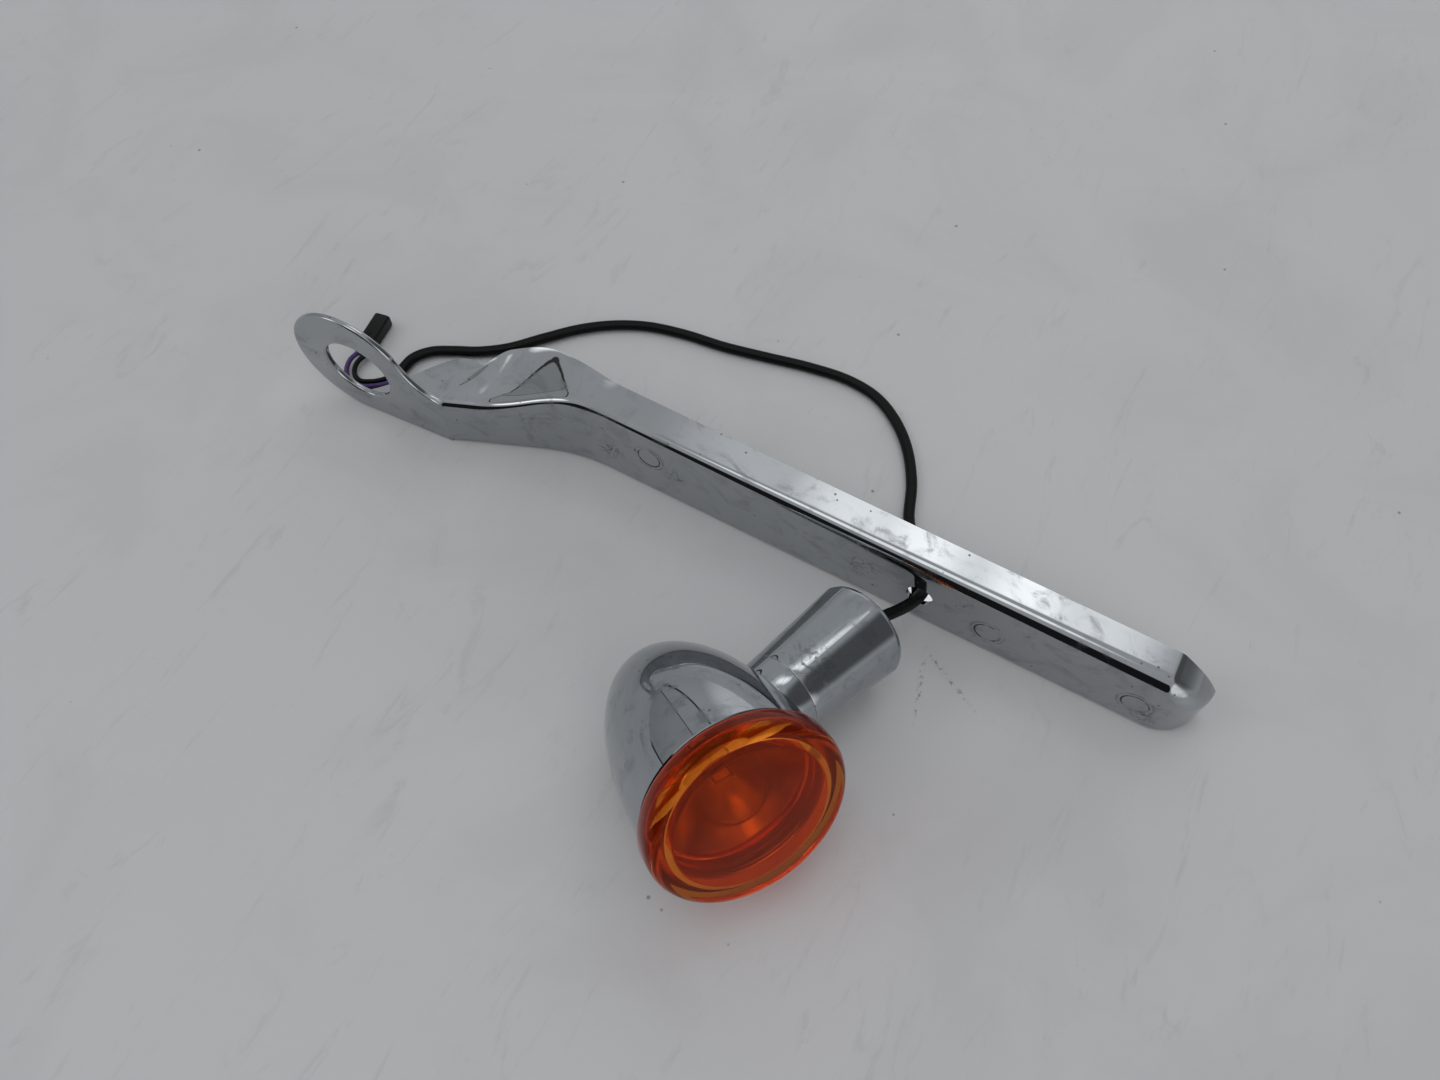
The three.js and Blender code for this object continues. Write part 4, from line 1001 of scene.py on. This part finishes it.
dress(coverPiece, "strut_and_stem", "chrome", coverChrome, "strut_cover")
dress(bulletPiece, "lamp_head", "chrome", lampChrome, "housing")
dress(stemPiece, "strut_and_stem", "chrome", lampChrome, "stem")
dress(lensPiece, "lens_cap", "amber_lens", None, "lens")
dress(reflectorPiece, "lamp_head", "reflector", None, "reflector")
dress(bulbPiece, "bulb", "bulb_glass", None, "bulb_glass")
dress(leadPiece, "strut_and_stem", "black_wire", None, "lead_sleeve")
dress(violetPiece, "strut_and_stem", "violet_wire", None, "wire_violet")
dress(blackPiece, "strut_and_stem", "black_wire", None, "wire_black")
dress(connectorPiece, "strut_and_stem", "connector_plastic", None, "connector_housing")

slotOf = {part["node"]: part["material_slot"] for part in frame["record"]["subparts"]}
for nodeName, node in frame["nodes"].items():
    finish = finishes[slotOf[nodeName]]
    if node.material_slots:
        for place in node.material_slots:
            place.material = finish
    else:
        node.data.materials.append(finish)

print("pieces dressed")

# Old scuffs in the paint: where each one is, which way it runs and half its length.
scuffs = [((65, -17), -0.49, 17), ((56, -24), -1.3, 19)]
floorShape = dict(size=3000, colour="#dbdbdc", stain="#c2c3c4", speck="#6f6e6a", scuffWidth=1.3)


def scuffMark(tree, vector, place, turn, reach):
    # Distance in a frame stretched along the scuff: a thin broken ellipse.
    across = add(tree, "Mapping", {
        "Vector": vector, "Location": placeMm((*place, 0)), "Rotation": (0, 0, turn),
        "Scale": (reach, floorShape["scuffWidth"], 50)}, vector_type="TEXTURE")
    far = add(tree, "VectorMath", {0: across}, operation="LENGTH")
    chips = add(tree, "TexNoise", {"Vector": vector, "Scale": 1 / 1.6, "Detail": 5.0, "Roughness": 0.75})
    broken = add(tree, "MapRange", {0: chips, 1: 0.5, 2: 0.62}, **soft)
    inside = add(tree, "MapRange", {0: far, 1: 1.0, 2: 0.4}, **soft)
    return add(tree, "Math", {0: inside, 1: broken}, **times)


def makeFloor():
    # A painted bench top: pale, cloudy, with fine dirt, a few specks and two scuffs.
    half = floorShape["size"] * mm / 2
    corners = [(-half, -half, 0), (half, -half, 0), (half, half, 0), (-half, half, 0)]
    piece = meshPiece("floor", corners, [(0, 1, 2, 3)], 35, False)
    material, tree, shader, out = newMaterial("painted bench top")
    vector = millimetres(tree)
    clouds = add(tree, "TexNoise", {"Vector": vector, "Scale": 1 / 90.0, "Detail": 5.0, "Roughness": 0.6,
                                    "Distortion": 0.8})
    cloud = add(tree, "MapRange", {0: clouds, 1: 0.42, 2: 0.68}, **soft)
    wiping = add(tree, "Mapping", {"Vector": vector, "Scale": (1.0, 0.25, 1.0), "Rotation": (0, 0, 0.5)})
    wipes = add(tree, "TexNoise", {"Vector": wiping, "Scale": 1 / 14.0, "Detail": 6.0, "Roughness": 0.72,
                                   "Distortion": 1.5})
    smear = add(tree, "MapRange", {0: wipes, 1: 0.56, 2: 0.74}, **soft)
    grit = add(tree, "TexVoronoi", {"Vector": vector, "Scale": 1 / 16.0, "Randomness": 1.0})
    where = add(tree, "TexNoise", {"Vector": vector, "Scale": 1 / 30.0, "Detail": 2.0, "Roughness": 0.55})
    sparse = add(tree, "MapRange", {0: where, 1: 0.55, 2: 0.6}, **soft)
    dots = add(tree, "MapRange", {0: grit, 1: 0.055, 2: 0.03}, **soft)
    speck = add(tree, "Math", {0: dots, 1: sparse}, **times)
    speck = largest(tree, [speck] + [scuffMark(tree, vector, *scuff) for scuff in scuffs])
    stain = linear(floorShape["stain"])
    colour = linear(floorShape["colour"])
    for mask, strength, tone in ((cloud, 0.22, stain), (smear, 0.5, stain),
                                 (speck, 0.7, linear(floorShape["speck"]))):
        share = add(tree, "Math", {0: mask, 1: strength}, **times)
        colour = add(tree, "Mix", {0: share, 6: colour, 7: tone}, **colours)
    grain = add(tree, "TexNoise", {"Vector": vector, "Scale": 1 / 1.4, "Detail": 4.0, "Roughness": 0.55})
    feed(tree, shader, {
        "Base Color": colour,
        "Roughness": add(tree, "MapRange", {0: cloud, 3: 0.42, 4: 0.58}, **soft),
        "Normal": add(tree, "Bump", {"Height": grain, "Distance": 0.03 * mm, "Strength": 1.0})})
    piece.data.materials.append(material)


# The room by direction, with angles in degrees: height bands of grey, dark patches and
# soft lights as a direction, outer and inner angle and depth or level, and a panel on
# the left whose dark seams the bullet mirrors.
room = dict(
    bands=[(0.0, 0.31), (0.2, 0.37), (0.6, 0.37), (1.0, 0.42)],
    tint=(0.97, 1.0, 1.025),
    dark=[((0.05, -0.91, 0.41), 30, 26, 0.97), ((0.72, 0.42, 0.55), 33, 18, 0.75)],
    lights=[((0.1, 0.51, 0.85), 5.6, 0.1, 0.75), ((0.005, 0.515, 0.86), 5.6, 0.1, 0.75),
            ((-0.09, 0.51, 0.855), 5.6, 0.1, 0.6), ((-0.17, 0.5, 0.85), 9, 1, 0.3),
            ((-0.06, -0.05, 1.0), 14, 9, 0.9), ((-0.66, -0.34, 0.67), 15, 4, 1.3),
            ((0.9, -0.4, 0.3), 32, 14, 0.6), ((-0.3, 0.95, 0.2), 24, 12, 0.3)],
    seams=[((-0.93, 0.22, 0.30), 25, 0.9), ((-0.55, -0.72, -0.1), 78, 0.4)],
    seamLevel=0.12,
    panelLevel=0.86,
    strength=1.28,
)


def cosine(degrees):
    return float(np.cos(np.radians(degrees)))


def makeRoom():
    world = bpy.data.worlds.new("room")
    bpy.context.scene.world = world
    world.use_nodes = True
    tree = world.node_tree
    tree.nodes.clear()
    coords = add(tree, "TexCoord")
    way = add(tree, "VectorMath", {0: coords.outputs["Generated"]}, operation="NORMALIZE")

    def facing(direction):
        toward = np.array(direction) / np.linalg.norm(direction)
        return add(tree, "VectorMath", {0: way, 1: tuple(toward)}, operation="DOT_PRODUCT")

    height = add(tree, "SeparateXYZ", {0: way}).outputs["Z"]
    ramp = add(tree, "ValToRGB", {0: height})
    for band in room["bands"][2:]:
        ramp.color_ramp.elements.new(0.5)
    for element, (place, level) in zip(ramp.color_ramp.elements, room["bands"]):
        element.position = place
        element.color = (*(level * tint for tint in room["tint"]), 1)
    total = ramp
    for direction, outer, inner, depth in room["dark"]:
        mask = add(tree, "MapRange", {0: facing(direction), 1: cosine(outer), 2: cosine(inner), 3: 1.0,
                                      4: 1 - depth}, **soft)
        total = add(tree, "VectorMath", {0: total, 3: mask}, operation="SCALE")
    panel = None
    for direction, angle, width in room["seams"]:
        dot = facing(direction)
        middle = cosine(angle)
        half = float(np.sin(np.radians(angle)) * np.radians(width))
        past = add(tree, "Math", {0: dot, 1: middle}, operation="SUBTRACT")
        gap = add(tree, "Math", {0: past}, operation="ABSOLUTE")
        line = add(tree, "MapRange", {0: gap, 1: half * 0.5, 2: half, 3: room["seamLevel"], 4: 1.0}, **soft)
        inside = add(tree, "MapRange", {0: dot, 1: middle - half, 2: middle + half, 3: 1.0,
                                        4: room["panelLevel"]}, **soft)
        shade = add(tree, "Math", {0: line, 1: inside}, **times)
        if panel is None:
            panel = add(tree, "MapRange", {0: dot, 1: middle - half, 2: middle + half}, **soft)
        else:
            outside = add(tree, "Math", {0: 1.0, 1: panel}, operation="SUBTRACT")
            shade = add(tree, "Math", {0: shade, 1: outside}, operation="MAXIMUM")
            shade = add(tree, "Math", {0: shade, 1: 1.0}, operation="MINIMUM")
        total = add(tree, "VectorMath", {0: total, 3: shade}, operation="SCALE")
    for direction, outer, inner, level in room["lights"]:
        mask = add(tree, "MapRange", {0: facing(direction), 1: cosine(outer), 2: cosine(inner), 3: 0.0,
                                      4: level}, **soft)
        total = add(tree, "VectorMath", {0: total, 1: mask}, **plus)
    background = add(tree, "Background", {"Color": total, "Strength": room["strength"]})
    add(tree, "OutputWorld", {"Surface": background})


makeFloor()
makeRoom()
bpy.context.scene.view_settings.view_transform = "Standard"
print("floor and light made")
